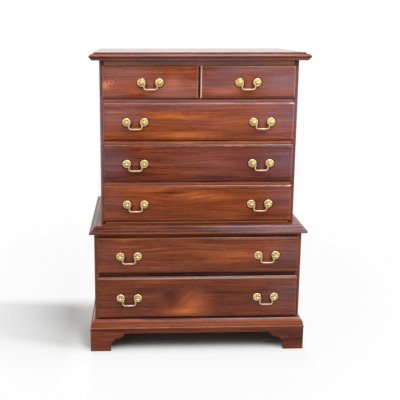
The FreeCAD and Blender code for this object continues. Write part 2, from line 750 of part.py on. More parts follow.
def build_glue_blocks(inner):
    """Upright blocks in the four corners and two strips behind the apron, under the case."""
    square = S["corner_block"]
    tall = f"({S['base_height']} - {S['block_lift']})"
    ahead = f"({LOWER_FRONT} - {S['bracket_over']} + {S['bracket_thick']})"
    behind = f"({BACK} - {S['rear_bracket_thick']} - {square})"
    members = []
    for name, depth_at in (("front_block", ahead), ("rear_block", behind)):
        block = board(name, (square, square, tall), (f"-{inner}", depth_at, S["block_lift"]))
        members += [block, mirrored(block, f"{name}_mirror")]
    strip = board(
        "glue_strip", (S["strip_length"], S["strip_square"], S["strip_square"]),
        (f"-{inner} / 2 - {S['strip_length']} / 2", ahead,
         f"{S['base_height']} - {S['strip_square']}"))
    members += [strip, mirrored(strip, "glue_strip_mirror")]
    group("glue_blocks", members)


# ---------------------------------------------------------------- drawers
TAIL_COUNT = 4


def trapezoid(centre, neck_at, tip_at, neck_half, tip_half):
    """Dovetail outline in the plane of a drawer side, symmetric about its centre line."""
    return [
        (neck_at, f"{centre} - {neck_half}"),
        (tip_at, f"{centre} - {tip_half}"),
        (tip_at, f"{centre} + {tip_half}"),
        (neck_at, f"{centre} + {neck_half}"),
    ]


def tail_sizes(low, high):
    """Pitch of the dovetails between two levels, and a tail's half widths at neck and tip."""
    pitch = f"(({high} - {low}) / {TAIL_COUNT})"
    tip = f"(({pitch} - {S['pin_tip']}) / 2)"
    neck = f"({tip} - {S['tail_flare']})"
    return pitch, neck, tip


def cut_sockets(body, name, low, high, neck_at, tip_at, half_width):
    """Sockets for the tails of both drawer sides, in the two ends of a front or back."""
    pitch, neck, tip = tail_sizes(low, high)
    thick = S["drawer_side_thick"]
    corners = trapezoid(f"({low} + {pitch} / 2)", neck_at, tip_at, neck, tip)
    for end, offset in (("right", half_width), ("left", f"-{half_width} + {thick}")):
        socket = outline(body, "YZ_Plane", corners, f"{name}_{end}_socket", offset=offset)
        cut = cut_deep(body, socket, thick, f"{name}_{end}_socket_cut")
        repeat_up(body, cut, pitch, TAIL_COUNT, f"{name}_{end}_sockets")


def drawer_front(name, half_width, opening, pulls):
    """Lipped front: thumbnail-moulded lip, rebated tongue, sockets, groove and post bores."""
    body = new_body(f"{name}_front_body")
    low = S["drawer_bottom_gap"]
    tongue_top = f"({opening} - {S['drawer_top_gap']})"
    lip_half = f"({half_width} + {S['lip_side']})"
    lip_top = f"({tongue_top} + {S['lip_top']})"
    lip = outline(body, "XZ_Plane", rectangle((f"-{lip_half}", low), (lip_half, lip_top)),
                  f"{name}_lip")
    pad(body, lip, S["front_lip"], f"{name}_lip_pad")
    tongue = outline(body, "XZ_Plane", rectangle((f"-{half_width}", low), (half_width, tongue_top)),
                     f"{name}_tongue")
    pad(body, tongue, S["tongue_depth"], f"{name}_tongue_pad", back=True)
    cut_thumbnails(body, name, lip_half, low, lip_top)
    cut_sockets(body, name, low, tongue_top, S["tongue_depth"], "0", half_width)
    between = f"({half_width} - {S['drawer_side_thick']})"
    groove = outline(
        body, "XZ_Plane",
        rectangle((f"-{between}", S["groove_up"]),
                  (between, f"{S['groove_up']} + {S['drawer_bottom_thick']}")),
        f"{name}_groove", offset=f"-{S['tongue_depth']}")
    cut_deep(body, groove, S["groove_depth"], f"{name}_groove_cut", back=True)
    bores = new_sketch(body, "XZ_Plane", f"{name}_bores")
    bore = f"({S['shank_radius']} + {S['bore_gap']})"
    for middle in pulls:
        for side in ("-", "+"):
            draw_circle(bores, f"({middle} {side} {S['pull_centres']} / 2)", pull_level(opening), bore)
    cut_through(body, bores, f"{name}_bore_cut")
    return body


def cut_thumbnails(body, name, lip_half, low, high):
    """Thumbnail moulding on the four edges of the lip: cut in both ways, it mitres itself."""
    over = S["cut_over"]
    face = f"-{S['front_lip']} - {over}"
    floor = f"-{S['front_lip']} + {S['quirk']}"
    edge = f"-{S['lip_edge']}"

    def section(at, inward, turns):
        outer = f"{at} {'-' if inward == '+' else '+'} {over}"
        inner = f"{at} {inward} {S['thumb_width']}"
        return [(at, edge, f"{turns}{S['thumb_bend']}"), (inner, floor), (inner, face), (outer, face),
                (outer, edge)]

    ends = new_sketch(body, "XY_Plane", f"{name}_end_thumbs")
    draw_path(ends, section(f"-{lip_half}", "+", "+"))
    draw_path(ends, section(lip_half, "-", "-"))
    cut_through(body, ends, f"{name}_end_thumb_cut")
    edges = new_sketch(body, "YZ_Plane", f"{name}_edge_thumbs")
    for at, inward, turns in ((low, "+", "-"), (high, "-", "+")):
        draw_path(edges, [(corner[1], corner[0]) + tuple(corner[2:])
                          for corner in section(at, inward, turns)])
    cut_through(body, edges, f"{name}_edge_thumb_cut")


def drawer_side(name, half_width, opening, length):
    """Left drawer side: tails at both ends, grooved for the bottom."""
    body = new_body(f"{name}_side", (f"-{half_width}", "0", "0"))
    top = f"({opening} - {S['drawer_top_gap']})"
    face = outline(body, "YZ_Plane", rectangle(("0", "0"), (length, top)), f"{name}_side_face")
    pad(body, face, S["drawer_side_thick"], f"{name}_side_pad")
    back_low = f"({S['groove_up']} + {S['drawer_bottom_thick']})"
    ends = (
        ("fore", S["drawer_bottom_gap"], "0", S["tongue_depth"], "-"),
        ("aft", back_low, length, f"({length} - {S['drawer_back_thick']})", "+"),
    )
    for end, low, tip_at, neck_at, outward in ends:
        pitch, _, _ = tail_sizes(low, top)
        pin = f"({S['pin_tip']} / 2)"
        root = f"({pin} + {S['tail_flare']})"
        beyond = f"{tip_at} {outward} {S['cut_over']}"
        middle = f"({low} + {pitch})"
        between = [(neck_at, f"{middle} - {root}"), (tip_at, f"{middle} - {pin}"),
                   (beyond, f"{middle} - {pin}"), (beyond, f"{middle} + {pin}"),
                   (tip_at, f"{middle} + {pin}"), (neck_at, f"{middle} + {root}")]
        space = outline(body, "YZ_Plane", between, f"{name}_{end}_space")
        cut = cut_through(body, space, f"{name}_{end}_space_cut")
        repeat_up(body, cut, pitch, TAIL_COUNT - 1, f"{name}_{end}_spaces")
        half_pins = new_sketch(body, "YZ_Plane", f"{name}_{end}_half_pins")
        lower = low if end == "aft" else f"-{S['cut_over']}"
        draw_path(half_pins, [(neck_at, lower), (neck_at, f"{low} + {root}"),
                              (tip_at, f"{low} + {pin}"), (beyond, f"{low} + {pin}"),
                              (beyond, lower)])
        above = f"{top} + {S['cut_over']}"
        draw_path(half_pins, [(neck_at, above), (neck_at, f"{top} - {root}"),
                              (tip_at, f"{top} - {pin}"), (beyond, f"{top} - {pin}"),
                              (beyond, above)])
        cut_through(body, half_pins, f"{name}_{end}_half_pin_cut")
    groove = outline(
        body, "YZ_Plane",
        rectangle((f"{S['tongue_depth']} - {S['groove_depth']}", S["groove_up"]),
                  (f"{length} + {S['cut_over']}", back_low)),
        f"{name}_side_groove", offset=S["drawer_side_thick"])
    cut_deep(body, groove, S["groove_depth"], f"{name}_side_groove_cut")
    return body


def drawer_back(name, half_width, opening, length):
    """Drawer back: stands on the bottom, with through sockets for the tails of the sides."""
    low = f"({S['groove_up']} + {S['drawer_bottom_thick']})"
    top = f"({opening} - {S['drawer_top_gap']})"
    start = f"({length} - {S['drawer_back_thick']})"
    body = new_body(f"{name}_back")
    face = outline(body, "XZ_Plane", rectangle((f"-{half_width}", low), (half_width, top)),
                   f"{name}_back_face", offset=f"-{length}")
    pad(body, face, S["drawer_back_thick"], f"{name}_back_pad")
    cut_sockets(body, f"{name}_back", low, top, start, length, half_width)
    return body


def drawer_panel(name, half_width, length, at):
    """Drawer bottom, in the grooves of front and sides and under the back."""
    inset = f"({S['groove_depth']} - {S['panel_gap']})"
    half = f"({half_width} - {S['drawer_side_thick']} + {inset})"
    begin = f"({S['tongue_depth']} - {inset})"
    return board(f"{name}_panel", (f"2 * {half}", f"{length} - {begin}", S["drawer_bottom_thick"]),
                 (f"{at[0]} - {half}", f"{at[1]} + {begin}", f"{at[2]} + {S['groove_up']}"))


def pull_level(opening):
    """Height of the posts above the runners: the middle of the front, less the drop."""
    lip_top = f"({opening} - {S['drawer_top_gap']} + {S['lip_top']})"
    return f"(({S['drawer_bottom_gap']} + {lip_top}) / 2 - {S['pull_drop']})"


def build_drawer(name, middle, half_opening, front, floor, opening, depth, pulls):
    """One drawer: front, box, bottom, the fixings of its pulls and a bail for each pull."""
    half_width = f"({half_opening} - {S['drawer_side_gap']})"
    length = f"({depth} - {S['back_thick']} - {S['drawer_back_gap']})"
    at = (middle, front, floor)
    front_body = drawer_front(name, half_width, opening, [offset for _, offset in pulls])
    place(front_body, at)
    keep(front_body, f"{name}_front")
    side = drawer_side(name, half_width, opening, length)
    back = drawer_back(name, half_width, opening, length)
    group(f"{name}_box", [side, mirrored(side, f"{name}_side_mirror"), back], at)
    keep(drawer_panel(name, half_width, length, at), f"{name}_bottom_panel")
    fixings = []
    for pull, offset in pulls:
        for side_name, sign in (("left", "-"), ("right", "+")):
            spot = (f"{offset} {sign} {S['pull_centres']} / 2", "0", pull_level(opening))
            for piece, template in (("rosette", rosette), ("post", post), ("nut", nut)):
                fixings.append(copy_of(template, f"{name}_{pull}_{side_name}_{piece}", spot))
    group(f"{name}_pull_fixings", fixings, at)
    for pull, offset in pulls:
        bail = bail_body(f"{name}_{pull}_wire")
        place(bail, (f"{middle} + {offset}", f"{front} - {S['front_lip']} - {S['pivot_out']}",
                     f"{floor} + {pull_level(opening)}"))
        keep(bail, f"{name}_{pull}")


# ---------------------------------------------------------------- pulls
def rosette_body():
    """Round rosette with a rolled rim and a dish, on the drawer face at y = -front_lip."""
    body = new_body("rosette_pattern")
    face = f"-{S['front_lip']}"
    bore = f"({S['shank_radius']} + {S['bore_gap']})"
    rim = f"({S['rosette_radius']} - {S['rim_width']})"
    section = outline(body, "XY_Plane", [
        (bore, face),
        (bore, f"{face} - {S['boss_height']}"),
        (S["boss_radius"], f"{face} - {S['boss_height']}"),
        (S["boss_radius"], f"{face} - {S['dish_height']} - {S['rosette_edge']}",
         f"+{S['dish_bend']}"),
        (rim, f"{face} - {S['dish_height']}", f"+{S['rim_bend']}"),
        (S["rosette_radius"], f"{face} - {S['rosette_edge']}"),
        (S["rosette_radius"], face),
    ], "rosette_section")
    revolve(body, section, (origin_feature(body, "Y_Axis"), [""]), "rosette_turning")
    return body


def post_body():
    """Post: threaded shank through the front, neck on the rosette, drilled ball head."""
    body = new_body("post_pattern")
    shoulder = f"(-{S['front_lip']} - {S['boss_height']})"
    pivot = f"(-{S['front_lip']} - {S['pivot_out']})"
    neck_meets = f"({pivot} + sqrt({S['head_radius']}^2 - {S['neck_radius']}^2))"
    tail = f"({S['tongue_depth']} + {S['nut_thick']} + {S['shank_end']})"
    section = outline(body, "XY_Plane", [
        ("0", tail),
        ("0", f"{pivot} - {S['head_radius']}", f"+{S['head_radius']}"),
        (S["neck_radius"], neck_meets),
        (S["neck_radius"], shoulder),
        (S["shank_radius"], shoulder),
        (S["shank_radius"], tail),
    ], "post_section")
    revolve(body, section, (origin_feature(body, "Y_Axis"), [""]), "post_turning")
    hole = new_sketch(body, "YZ_Plane", "post_hole")
    draw_circle(hole, pivot, "0", f"({S['pin_radius']} + {S['pin_gap']})")
    cut_through(body, hole, "post_hole_cut")
    return body


def nut_body():
    """Hexagon nut on the shank, against the back of the drawer front."""
    body = new_body("nut_pattern")
    reach = S["nut_radius"]
    corners = [(f"({reach} * cos({60 * corner}))", f"({reach} * sin({60 * corner}))")
               for corner in range(6)]
    section = outline(body, "XZ_Plane", corners, "nut_section", offset=f"-{S['tongue_depth']}")
    draw_circle(section, "0", "0", S["shank_radius"])
    pad(body, section, S["nut_thick"], "nut_pad", back=True)
    return body


def bail_body(name):
    """Cast bail: two hinge pins, bent legs and a grip swelled in the middle."""
    body = new_body(name)
    post_at = f"({S['pull_centres']} / 2)"
    shoulder = f"({post_at} - {S['head_radius']} - {S['head_gap']})"
    neck = S["neck_out"]
    leg = S["leg_out"]
    bend = S["bail_bend"]
    grip = f"-{S['bail_drop']}"
    top_bend = f"({shoulder} - {neck})"
    flare = f"({leg} - {neck})"
    sweep = f"(({S['neck_drop']}^2 + {flare}^2) / (4 * {flare}))"
    half_way = f"({neck} + {flare} / 2)"
    half_down = f"({top_bend} + {S['neck_drop']} / 2)"
    full_down = f"({top_bend} + {S['neck_drop']})"
    spine = new_sketch(body, "XZ_Plane", f"{name}_spine")
    left = [
        (f"-{shoulder}", "0", f"-{top_bend}"),
        (f"-{neck}", f"-{top_bend}", f"-{sweep}"),
        (f"-{half_way}", f"-{half_down}", f"+{sweep}"),
        (f"-{leg}", f"-{full_down}"),
        (f"-{leg}", f"{grip} + {bend}", f"+{bend}"),
        (f"-{leg} + {bend}", grip),
    ]
    draw_path(spine, left + mirrored_path(left), closed=False)
    ring = new_sketch(body, "YZ_Plane", f"{name}_ring", offset=f"-{shoulder}")
    draw_circle(ring, "0", "0", S["wire_radius"])
    pipe = body.newObject("PartDesign::AdditivePipe", f"{name}_wire")
    pipe.Profile = ring
    pipe.Spine = spine
    swell = new_sketch(body, "XZ_Plane", f"{name}_swell")
    draw_path(swell, [
        (f"-{S['grip_swell']}", grip),
        (S["grip_swell"], grip),
        (S["grip_swell"], f"{grip} + {S['wire_radius']}", f"+{swell_bend()}"),
        (f"-{S['grip_swell']}", f"{grip} + {S['wire_radius']}"),
    ])
    axis = new_sketch(body, "XZ_Plane", f"{name}_axis")
    draw_path(axis, [(f"-{leg}", grip), (leg, grip)], closed=False)
    revolve(body, swell, (axis, ["Edge1"]), f"{name}_grip")
    pins = new_sketch(body, "XZ_Plane", f"{name}_pins")
    outer = f"({post_at} + {S['head_radius']})"
    draw_path(pins, rectangle((f"-{outer}", "0"), (f"-{shoulder}", S["pin_radius"])))
    draw_path(pins, rectangle((shoulder, "0"), (outer, S["pin_radius"])))
    revolve(body, pins, (origin_feature(body, "X_Axis"), [""]), f"{name}_pins_turned")
    return body


def mirrored_path(corners):
    """The other half of a path that is symmetric about the upright axis."""
    return [(f"-({across})", up, *bend) for across, up, *bend in reversed_path(corners, flip=False)]


def swell_bend():
    """Radius of the grip's long curve, from its half length and its rise over the wire."""
    rise = f"({S['grip_radius']} - {S['wire_radius']})"
    return f"(({S['grip_swell']}^2 + {rise}^2) / (2 * {rise}))"


# ---------------------------------------------------------------- the whole chest
build_lower_case()
build_waist_moulding()
build_base_moulding()
block_line = build_bracket_base()
build_glue_blocks(block_line)
build_upper_case()
build_bed_moulding()
build_top()

rosette = rosette_body()
post = post_body()
nut = nut_body()

SMALL_HALF = f"(({UPPER_INNER} - {S['divider_thick']} / 2) / 2)"
SMALL_MIDDLE = f"({S['divider_thick']} / 2 + {SMALL_HALF})"
LIP_REACH = f"({S['lip_side']} - {S['drawer_side_gap']})"
UPPER_PULL = f"({UPPER_INNER} + {LIP_REACH} - {S['pull_inset']})"
LOWER_PULL = f"({LOWER_INNER} + {LIP_REACH} - {S['pull_inset']})"
UPPER_PAIR = [("left_bail", f"-{UPPER_PULL}"), ("right_bail", UPPER_PULL)]
LOWER_PAIR = [("left_bail", f"-{LOWER_PULL}"), ("right_bail", LOWER_PULL)]
SINGLE = [("bail", "0")]

for drawer, middle in (("small_left_drawer", f"-{SMALL_MIDDLE}"), ("small_right_drawer", SMALL_MIDDLE)):
    build_drawer(drawer, middle, SMALL_HALF, UPPER_FRONT, SMALL_FLOOR, S["opening_small"],
                 UPPER_DEPTH, SINGLE)
for drawer, level in (("second_drawer", SECOND_FLOOR), ("third_drawer", THIRD_FLOOR),
                      ("fourth_drawer", FOURTH_FLOOR)):
    build_drawer(drawer, "0", UPPER_INNER, UPPER_FRONT, level, S["opening_upper"],
                 UPPER_DEPTH, UPPER_PAIR)
for drawer, level, opening in (("fifth_drawer", FIFTH_FLOOR, S["opening_fifth"]),
                               ("sixth_drawer", SIXTH_FLOOR, S["opening_sixth"])):
    build_drawer(drawer, "0", LOWER_INNER, LOWER_FRONT, level, opening,
                 S["lower_depth"], LOWER_PAIR)

doc.recompute()

# ---------------------------------------------------------------- checks and files
for item in doc.Objects:
    if "Invalid" in item.State or "Error" in item.State:
        raise RuntimeError(f"{item.Name} did not build: {item.State}")
    if item.TypeId == "PartDesign::Pocket":
        base = item.BaseFeature
        if base is not None and item.Shape.Volume > base.Shape.Volume - 0.01:
            raise RuntimeError(f"{item.Name} cuts nothing")

os.makedirs("parts", exist_ok=True)
for item in parts:
    shape = Part.getShape(item)
    if shape.isNull() or not shape.isValid():
        raise RuntimeError(f"{item.Label} has no valid shape")
    shape.exportStep(os.path.join("parts", f"{item.Label}.step"))
print(len(parts), "sub-parts")
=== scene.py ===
import json
import math

import bmesh
import bpy
from mathutils import Matrix, Vector

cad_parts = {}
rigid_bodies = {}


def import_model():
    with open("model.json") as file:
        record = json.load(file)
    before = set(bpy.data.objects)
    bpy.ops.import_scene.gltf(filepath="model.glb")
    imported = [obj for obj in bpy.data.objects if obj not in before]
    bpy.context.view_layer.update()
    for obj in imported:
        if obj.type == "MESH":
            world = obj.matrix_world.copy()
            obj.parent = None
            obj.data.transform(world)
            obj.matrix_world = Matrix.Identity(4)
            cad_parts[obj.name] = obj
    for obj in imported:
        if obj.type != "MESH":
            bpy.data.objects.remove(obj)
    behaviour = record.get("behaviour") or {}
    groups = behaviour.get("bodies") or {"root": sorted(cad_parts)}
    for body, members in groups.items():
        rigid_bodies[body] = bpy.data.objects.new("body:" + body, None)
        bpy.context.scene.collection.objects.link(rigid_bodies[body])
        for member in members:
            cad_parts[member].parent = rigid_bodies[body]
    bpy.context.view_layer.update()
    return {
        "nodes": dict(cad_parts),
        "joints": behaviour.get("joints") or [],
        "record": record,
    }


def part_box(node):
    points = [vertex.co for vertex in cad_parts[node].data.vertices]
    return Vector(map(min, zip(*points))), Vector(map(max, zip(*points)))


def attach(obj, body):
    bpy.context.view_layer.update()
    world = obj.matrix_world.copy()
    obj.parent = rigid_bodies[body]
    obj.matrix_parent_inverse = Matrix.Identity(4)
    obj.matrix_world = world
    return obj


# Looks of the mahogany chest on chest. Metres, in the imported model's frame: Z is up and the
# drawers face -Y.

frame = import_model()

scene = bpy.context.scene
scene.view_settings.view_transform = "Standard"

# ---------------------------------------------------------------- camera
IMAGE_PIXELS = 400
FOCAL_PIXELS = 525.1
OPTICAL_AXIS_PIXEL = (150.9, 109.6)
SENSOR_MM = 36
CAMERA_AT = Vector((-0.2577, -2.4166, 1.4244))
CAMERA_YAW = 0.0228
CAMERA_PITCH = 0.1508


def add_camera():
    """Camera a little left of the middle, just above the top, looking slightly down."""
    data = bpy.data.cameras.new("camera")
    data.sensor_width = SENSOR_MM
    data.lens = data.sensor_width * FOCAL_PIXELS / IMAGE_PIXELS
    data.shift_x = 0.5 - OPTICAL_AXIS_PIXEL[0] / IMAGE_PIXELS
    data.shift_y = OPTICAL_AXIS_PIXEL[1] / IMAGE_PIXELS - 0.5
    camera = bpy.data.objects.new("camera", data)
    scene.collection.objects.link(camera)
    forward = Vector((math.sin(CAMERA_YAW) * math.cos(CAMERA_PITCH),
                      math.cos(CAMERA_YAW) * math.cos(CAMERA_PITCH),
                      -math.sin(CAMERA_PITCH)))
    camera.location = CAMERA_AT
    camera.rotation_euler = forward.to_track_quat("-Z", "Y").to_euler()
    scene.camera = camera


# ---------------------------------------------------------------- shader nodes
# Sockets of a Mix node for each kind of value: factor, first, second and result.
MIX_SOCKETS = {"FLOAT": (0, 2, 3, 0), "VECTOR": (0, 4, 5, 1), "RGBA": (0, 6, 7, 2)}


class Nodes:
    """Short calls for building the nodes of one material or world."""

    def __init__(self, owner):
        self.owner = owner
        owner.use_nodes = True
        self.tree = owner.node_tree
        self.tree.nodes.clear()

    def feed(self, socket, value):
        """Link a socket, or set the value of one."""
        if isinstance(value, bpy.types.NodeSocket):
            self.tree.links.new(value, socket)
        elif socket.type == "RGBA" and len(value) == 3:
            socket.default_value = (*value, 1)
        else:
            socket.default_value = value

    def add(self, kind, settings=None, **inputs):
        """Node with its inputs given by name."""
        node = self.tree.nodes.new(kind)
        for key, value in (settings or {}).items():
            setattr(node, key, value)
        for key, value in inputs.items():
            self.feed(node.inputs[key.replace("_", " ")], value)
        return node

    def numbered(self, kind, settings, *inputs):
        """Node with its inputs given in order."""
        node = self.add(kind, settings)
        for index, value in enumerate(inputs):
            self.feed(node.inputs[index], value)
        return node

    def math(self, operation, first, second=0.0):
        return self.numbered("ShaderNodeMath", {"operation": operation}, first, second).outputs[0]

    def vector_math(self, operation, *inputs):
        return self.numbered("ShaderNodeVectorMath", {"operation": operation}, *inputs).outputs

    def times(self, first, second):
        return self.math("MULTIPLY", first, second)

    def less(self, first, second):
        return self.math("SUBTRACT", first, second)

    def larger(self, first, second):
        return self.math("MAXIMUM", first, second)

    def total(self, *terms):
        result = terms[0]
        for term in terms[1:]:
            result = self.math("ADD", result, term)
        return result

    def centred(self, texture):
        """Texture of values about a half, moved to values about zero."""
        return self.less(texture, 0.5)

    def noise(self, vector, scale, detail=2.0, roughness=0.5, distortion=0.0):
        node = self.add("ShaderNodeTexNoise", Vector=vector, Scale=scale, Detail=detail,
                        Roughness=roughness, Distortion=distortion)
        return node.outputs[0]

    def streaks(self, vector, scale, detail=2.0, roughness=0.5, distortion=0.0, shift=(0, 0, 0)):
        """Noise with a scale of its own along each axis."""
        stretched = self.add("ShaderNodeMapping", Vector=vector, Scale=scale, Location=shift)
        return self.noise(stretched.outputs[0], 1.0, detail, roughness, distortion)

    def span(self, value, low, high, to_low=0.0, to_high=1.0, smooth=False):
        """Value's way from low to high, kept between the two results."""
        kind = {"interpolation_type": "SMOOTHSTEP" if smooth else "LINEAR", "clamp": True}
        node = self.numbered("ShaderNodeMapRange", kind, value, low, high, to_low, to_high)
        return node.outputs[0]

    def ramp(self, factor, stops):
        node = self.add("ShaderNodeValToRGB", Fac=factor)
        elements = node.color_ramp.elements
        while len(elements) < len(stops):
            elements.new(0.5)
        for element, (position, colour) in zip(elements, stops):
            element.position = position
            element.color = (*colour, 1)
        return node.outputs[0]

    def mix(self, factor, first, second, kind="RGBA"):
        node = self.add("ShaderNodeMix", {"data_type": kind})
        *inputs, result = MIX_SOCKETS[kind]
        for index, value in zip(inputs, (factor, first, second)):
            self.feed(node.inputs[index], value)
        return node.outputs[result]

    def split(self, vector):
        return self.numbered("ShaderNodeSeparateXYZ", {}, vector).outputs

    def join(self, x, y, z):
        return self.numbered("ShaderNodeCombineXYZ", {}, x, y, z).outputs[0]

    def moved(self, point, x, y, z):
        return self.vector_math("ADD", point, self.join(x, y, z))[0]

    def place(self):
        return self.add("ShaderNodeTexCoord").outputs["Object"]

    def nearby(self, distance, samples):
        """1 in the open, down to 0 in a corner, as far as the distance."""
        node = self.add("ShaderNodeAmbientOcclusion", {"samples": samples}, Distance=distance)
        return node.outputs["AO"]

    def bump(self, height, strength, distance, normal=None):
        node = self.add("ShaderNodeBump", Strength=strength, Distance=distance, Height=height)
        if normal:
            self.feed(node.inputs["Normal"], normal)
        return node.outputs[0]

    def surface(self, shader):
        """Material that ends in this shader."""
        output = self.add("ShaderNodeOutputMaterial")
        self.tree.links.new(shader, output.inputs["Surface"])
        return self.owner


def new_material(name):
    return Nodes(bpy.data.materials.new(name))


def paint(names, material):
    """Give CAD nodes a material in place of the plain one."""
    for name in names:
        mesh = frame["nodes"][name].data
        for index in range(len(mesh.materials)):
            mesh.materials[index] = material


# ---------------------------------------------------------------- wood
MAHOGANY = [
    (0.00, (0.013, 0.0032, 0.0018)),
    (0.20, (0.059, 0.0110, 0.0042)),
    (0.40, (0.143, 0.0305, 0.0082)),
    (0.60, (0.252, 0.0610, 0.0145)),
    (0.80, (0.415, 0.1270, 0.0320)),
    (1.00, (0.620, 0.2400, 0.0760)),
]
PALE_WOOD = [
    (0.00, (0.200, 0.1050, 0.0450)),
    (0.45, (0.380, 0.2300, 0.1100)),
    (1.00, (0.560, 0.3900, 0.2200)),
]
# Grey-purple colour of the painted reflections.
REFLECTION_TINT = (0.17, 0.13, 0.18)
# Pale colour of the painted glints along edges.
GLINT_PALE = (0.66, 0.44, 0.36)
# Colour of the painted shade in corners, gaps and under lips.
CREVICE_SHADE_DARK = (0.008, 0.0028, 0.0018)
# Colour of the painted shadow round the rosettes.
PLATE_SHADOW_DARK = (0.016, 0.006, 0.003)

# Layers of the grain: scale along and across it, then detail, roughness and distortion; weight.
GRAIN = {
    "band": (((1.6, 30, 30), 3.0, 0.55, 0.3), 0.42),
    "streak": (((3.4, 120, 120), 4.0, 0.65), 0.62),
    "fibre": (((11, 330, 330), 3.0, 0.65), 0.40),
    "blotch": (((5.0, 15, 15), 2.0, 0.5), 0.24),
    "flame": (((30, 85, 85), 2.0, 0.5), 0.16),
}
# The same for the slanting grain of an oblique patch.
SLANTING_GRAIN = (
    (((7, 40, 44), 3.0, 0.6, 0.4), 0.42),
    (((9, 60, 150), 3.0, 0.65), 0.26),
)
PATCH_FADE = (0.05, 0.75)
# How far the grain wanders from its line, and how many times as far the patches' edges do.
WANDER = 0.009
RAGGED = 5.0
EYE_RINGS = 16.0
EYE_WEIGHT = 0.17
PORE_SCALE = (55, 1500, 1500)
PORE_SPAN = (0.64, 0.72)
PORE_DARKNESS = 0.5
# The part of a noise's values that most of it lies in.
NOISE_SPAN = (0.3, 0.7)
# Painted reflections, grey-purple films in the colour: how far they vary, and on which faces they
# lie, by the normal's Y.
REFLECTION_VARIES = (0.6, 1.4)
REFLECTION_FACES = (0.05, 0.40)
# Worn edges, pale where the finish is rubbed, and with it a painted highlight along the rounded
# edges: how far the rounded normal leaves the face's own, where it wears, and how much.
EDGE_SPAN = (0.98, 0.75)
EDGE_PARTS = (0.35, 0.65)
EDGE_WEAR_AND_GLINT = 0.45
# Where the coat passes from front to slope and from slope to side, by the normal's Y.
FRONT_TO_SLOPE = (0.95, 0.50)
SLOPE_TO_SIDE = (0.45, 0.10)
# Relief: height of the fibres and of the pores, then strength and depth of each bump.
FIBRE_HEIGHT, PORE_HEIGHT = 0.6, -0.8
GRAIN_BUMP = (0.25, 0.0002)
WAVE_BUMP = (0.5, 0.0012)
POLISHED_ROUGHNESS = (0.36, 0.48)
RAW_ROUGHNESS = (0.62, 0.80)
SPECULAR = 0.06
COAT_ROUGHNESS = 0.17
# Painted shade in corners, gaps and under lips: how far it looks for a neighbour, where it starts,
# is full, and its strength.
OCCLUSION_SHADE = ((0.024, 0.76, 0.20, 0.94), (0.006, 0.85, 0.45, 0.90))
OCCLUSION_SHADE_SAMPLES = 5

# From a pull's middle to each of its posts.
POST_OFFSET = 0.038
# Painted shadow round a rosette: how far below its centre, its reach and strength; and the painted
# shadow between the bail's necks: how far inward, up, half width, half height and strength.
PLATE_SINKS = 0.0016
PLATE_REACH = (0.0235, 0.0290)
PLATE_FADE = (1.0, 0.62)
PLATE_STRENGTH = 0.86
NECK_SHADOW = (0.0185, -0.010, 0.013, 0.026, 0.75)

# Half depth of the soft ellipses: past the chest on both sides.
THROUGH = 10
FAR = 1.0


def blob(nodes, vector, x, z, half_width, half_height):
    """Soft ellipse in the front's plane: 1 in its middle, 0 from its edge on."""
    mapped = nodes.add("ShaderNodeMapping", {"vector_type": "TEXTURE"}, Vector=vector,
                       Location=(x, 0, z), Scale=(half_width, THROUGH, half_height)).outputs[0]
    ball = nodes.add("ShaderNodeTexGradient", {"gradient_type": "SPHERICAL"}, Vector=mapped)
    return nodes.span(ball.outputs[1], 0.0, 1.0, smooth=True)


def bent(nodes, point, bends, eyes):
    """Point that reads the grain of bowed, slanting or eyed figure.

    A bend is (x, z, half width, half height, bow, slant), and an eye is (x, z, half width,
    half height, squeeze).
    """
    for *where, bow, slant in bends:
        away = nodes.less(nodes.split(point)[0], where[0])
        lift = nodes.math("ADD", nodes.times(away, -slant), bow)
        point = nodes.moved(point, 0.0, 0.0, nodes.times(blob(nodes, point, *where), lift))
    for *where, squeeze in eyes:
        away = nodes.less(nodes.split(point)[2], where[1])
        lift = nodes.times(away, -squeeze)
        point = nodes.moved(point, 0.0, 0.0, nodes.times(blob(nodes, point, *where), lift))
    return point


def grain_vector(nodes, point, grain, corner=None):
    """Point with its first coordinate along the grain.

    With a corner, (x, y) on the mitre of a moulded frame, the grain runs along X in the
    front length and along Y in the two returns.
    """
    x, y, z = nodes.split(point)
    along = {"x": nodes.join(x, z, y), "y": nodes.join(y, z, x), "z": nodes.join(z, x, y)}
    if corner is None:
        return along[grain]
    ahead = nodes.less(corner[1], y)
    aside = nodes.less(nodes.math("ABSOLUTE", x), corner[0])
    in_return = nodes.math("GREATER_THAN", aside, ahead)
    return nodes.mix(in_return, along["x"], along["y"], "VECTOR")


def nearest(nodes, place, centres):
    """Distance in the front's plane to the nearest of some centres, (x, z)."""
    found = FAR
    for x, z in centres:
        mapped = nodes.add("ShaderNodeMapping", {"vector_type": "POINT"}, Vector=place,
                           Location=(-x, 0, -z), Scale=(1, 0, 1)).outputs[0]
        away = nodes.vector_math("LENGTH", mapped)["Value"]
        found = nodes.math("MINIMUM", away, found)
    return found


def plate_shadows(nodes, place, plates):
    """Painted shadow round the rosettes and between the bails' necks.

    The plates come in pairs, the left one of each bail first.
    """
    lower = [(x, z - PLATE_SINKS) for x, z in plates]
    reach = nodes.span(nodes.noise(place, 120.0, 2.0), *NOISE_SPAN, *PLATE_REACH)
    away = nodes.math("DIVIDE", nearest(nodes, place, lower), reach)
    painted_shade = nodes.span(away, *PLATE_FADE, 0.0, PLATE_STRENGTH, smooth=True)
    inward, above, half_width, half_height, strength = NECK_SHADOW
    for index, (x, z) in enumerate(plates):
        beside = x + inward if index % 2 == 0 else x - inward
        spot = blob(nodes, place, beside, z + above, half_width, half_height)
        painted_shade = nodes.larger(painted_shade, nodes.times(spot, strength))
    return painted_shade


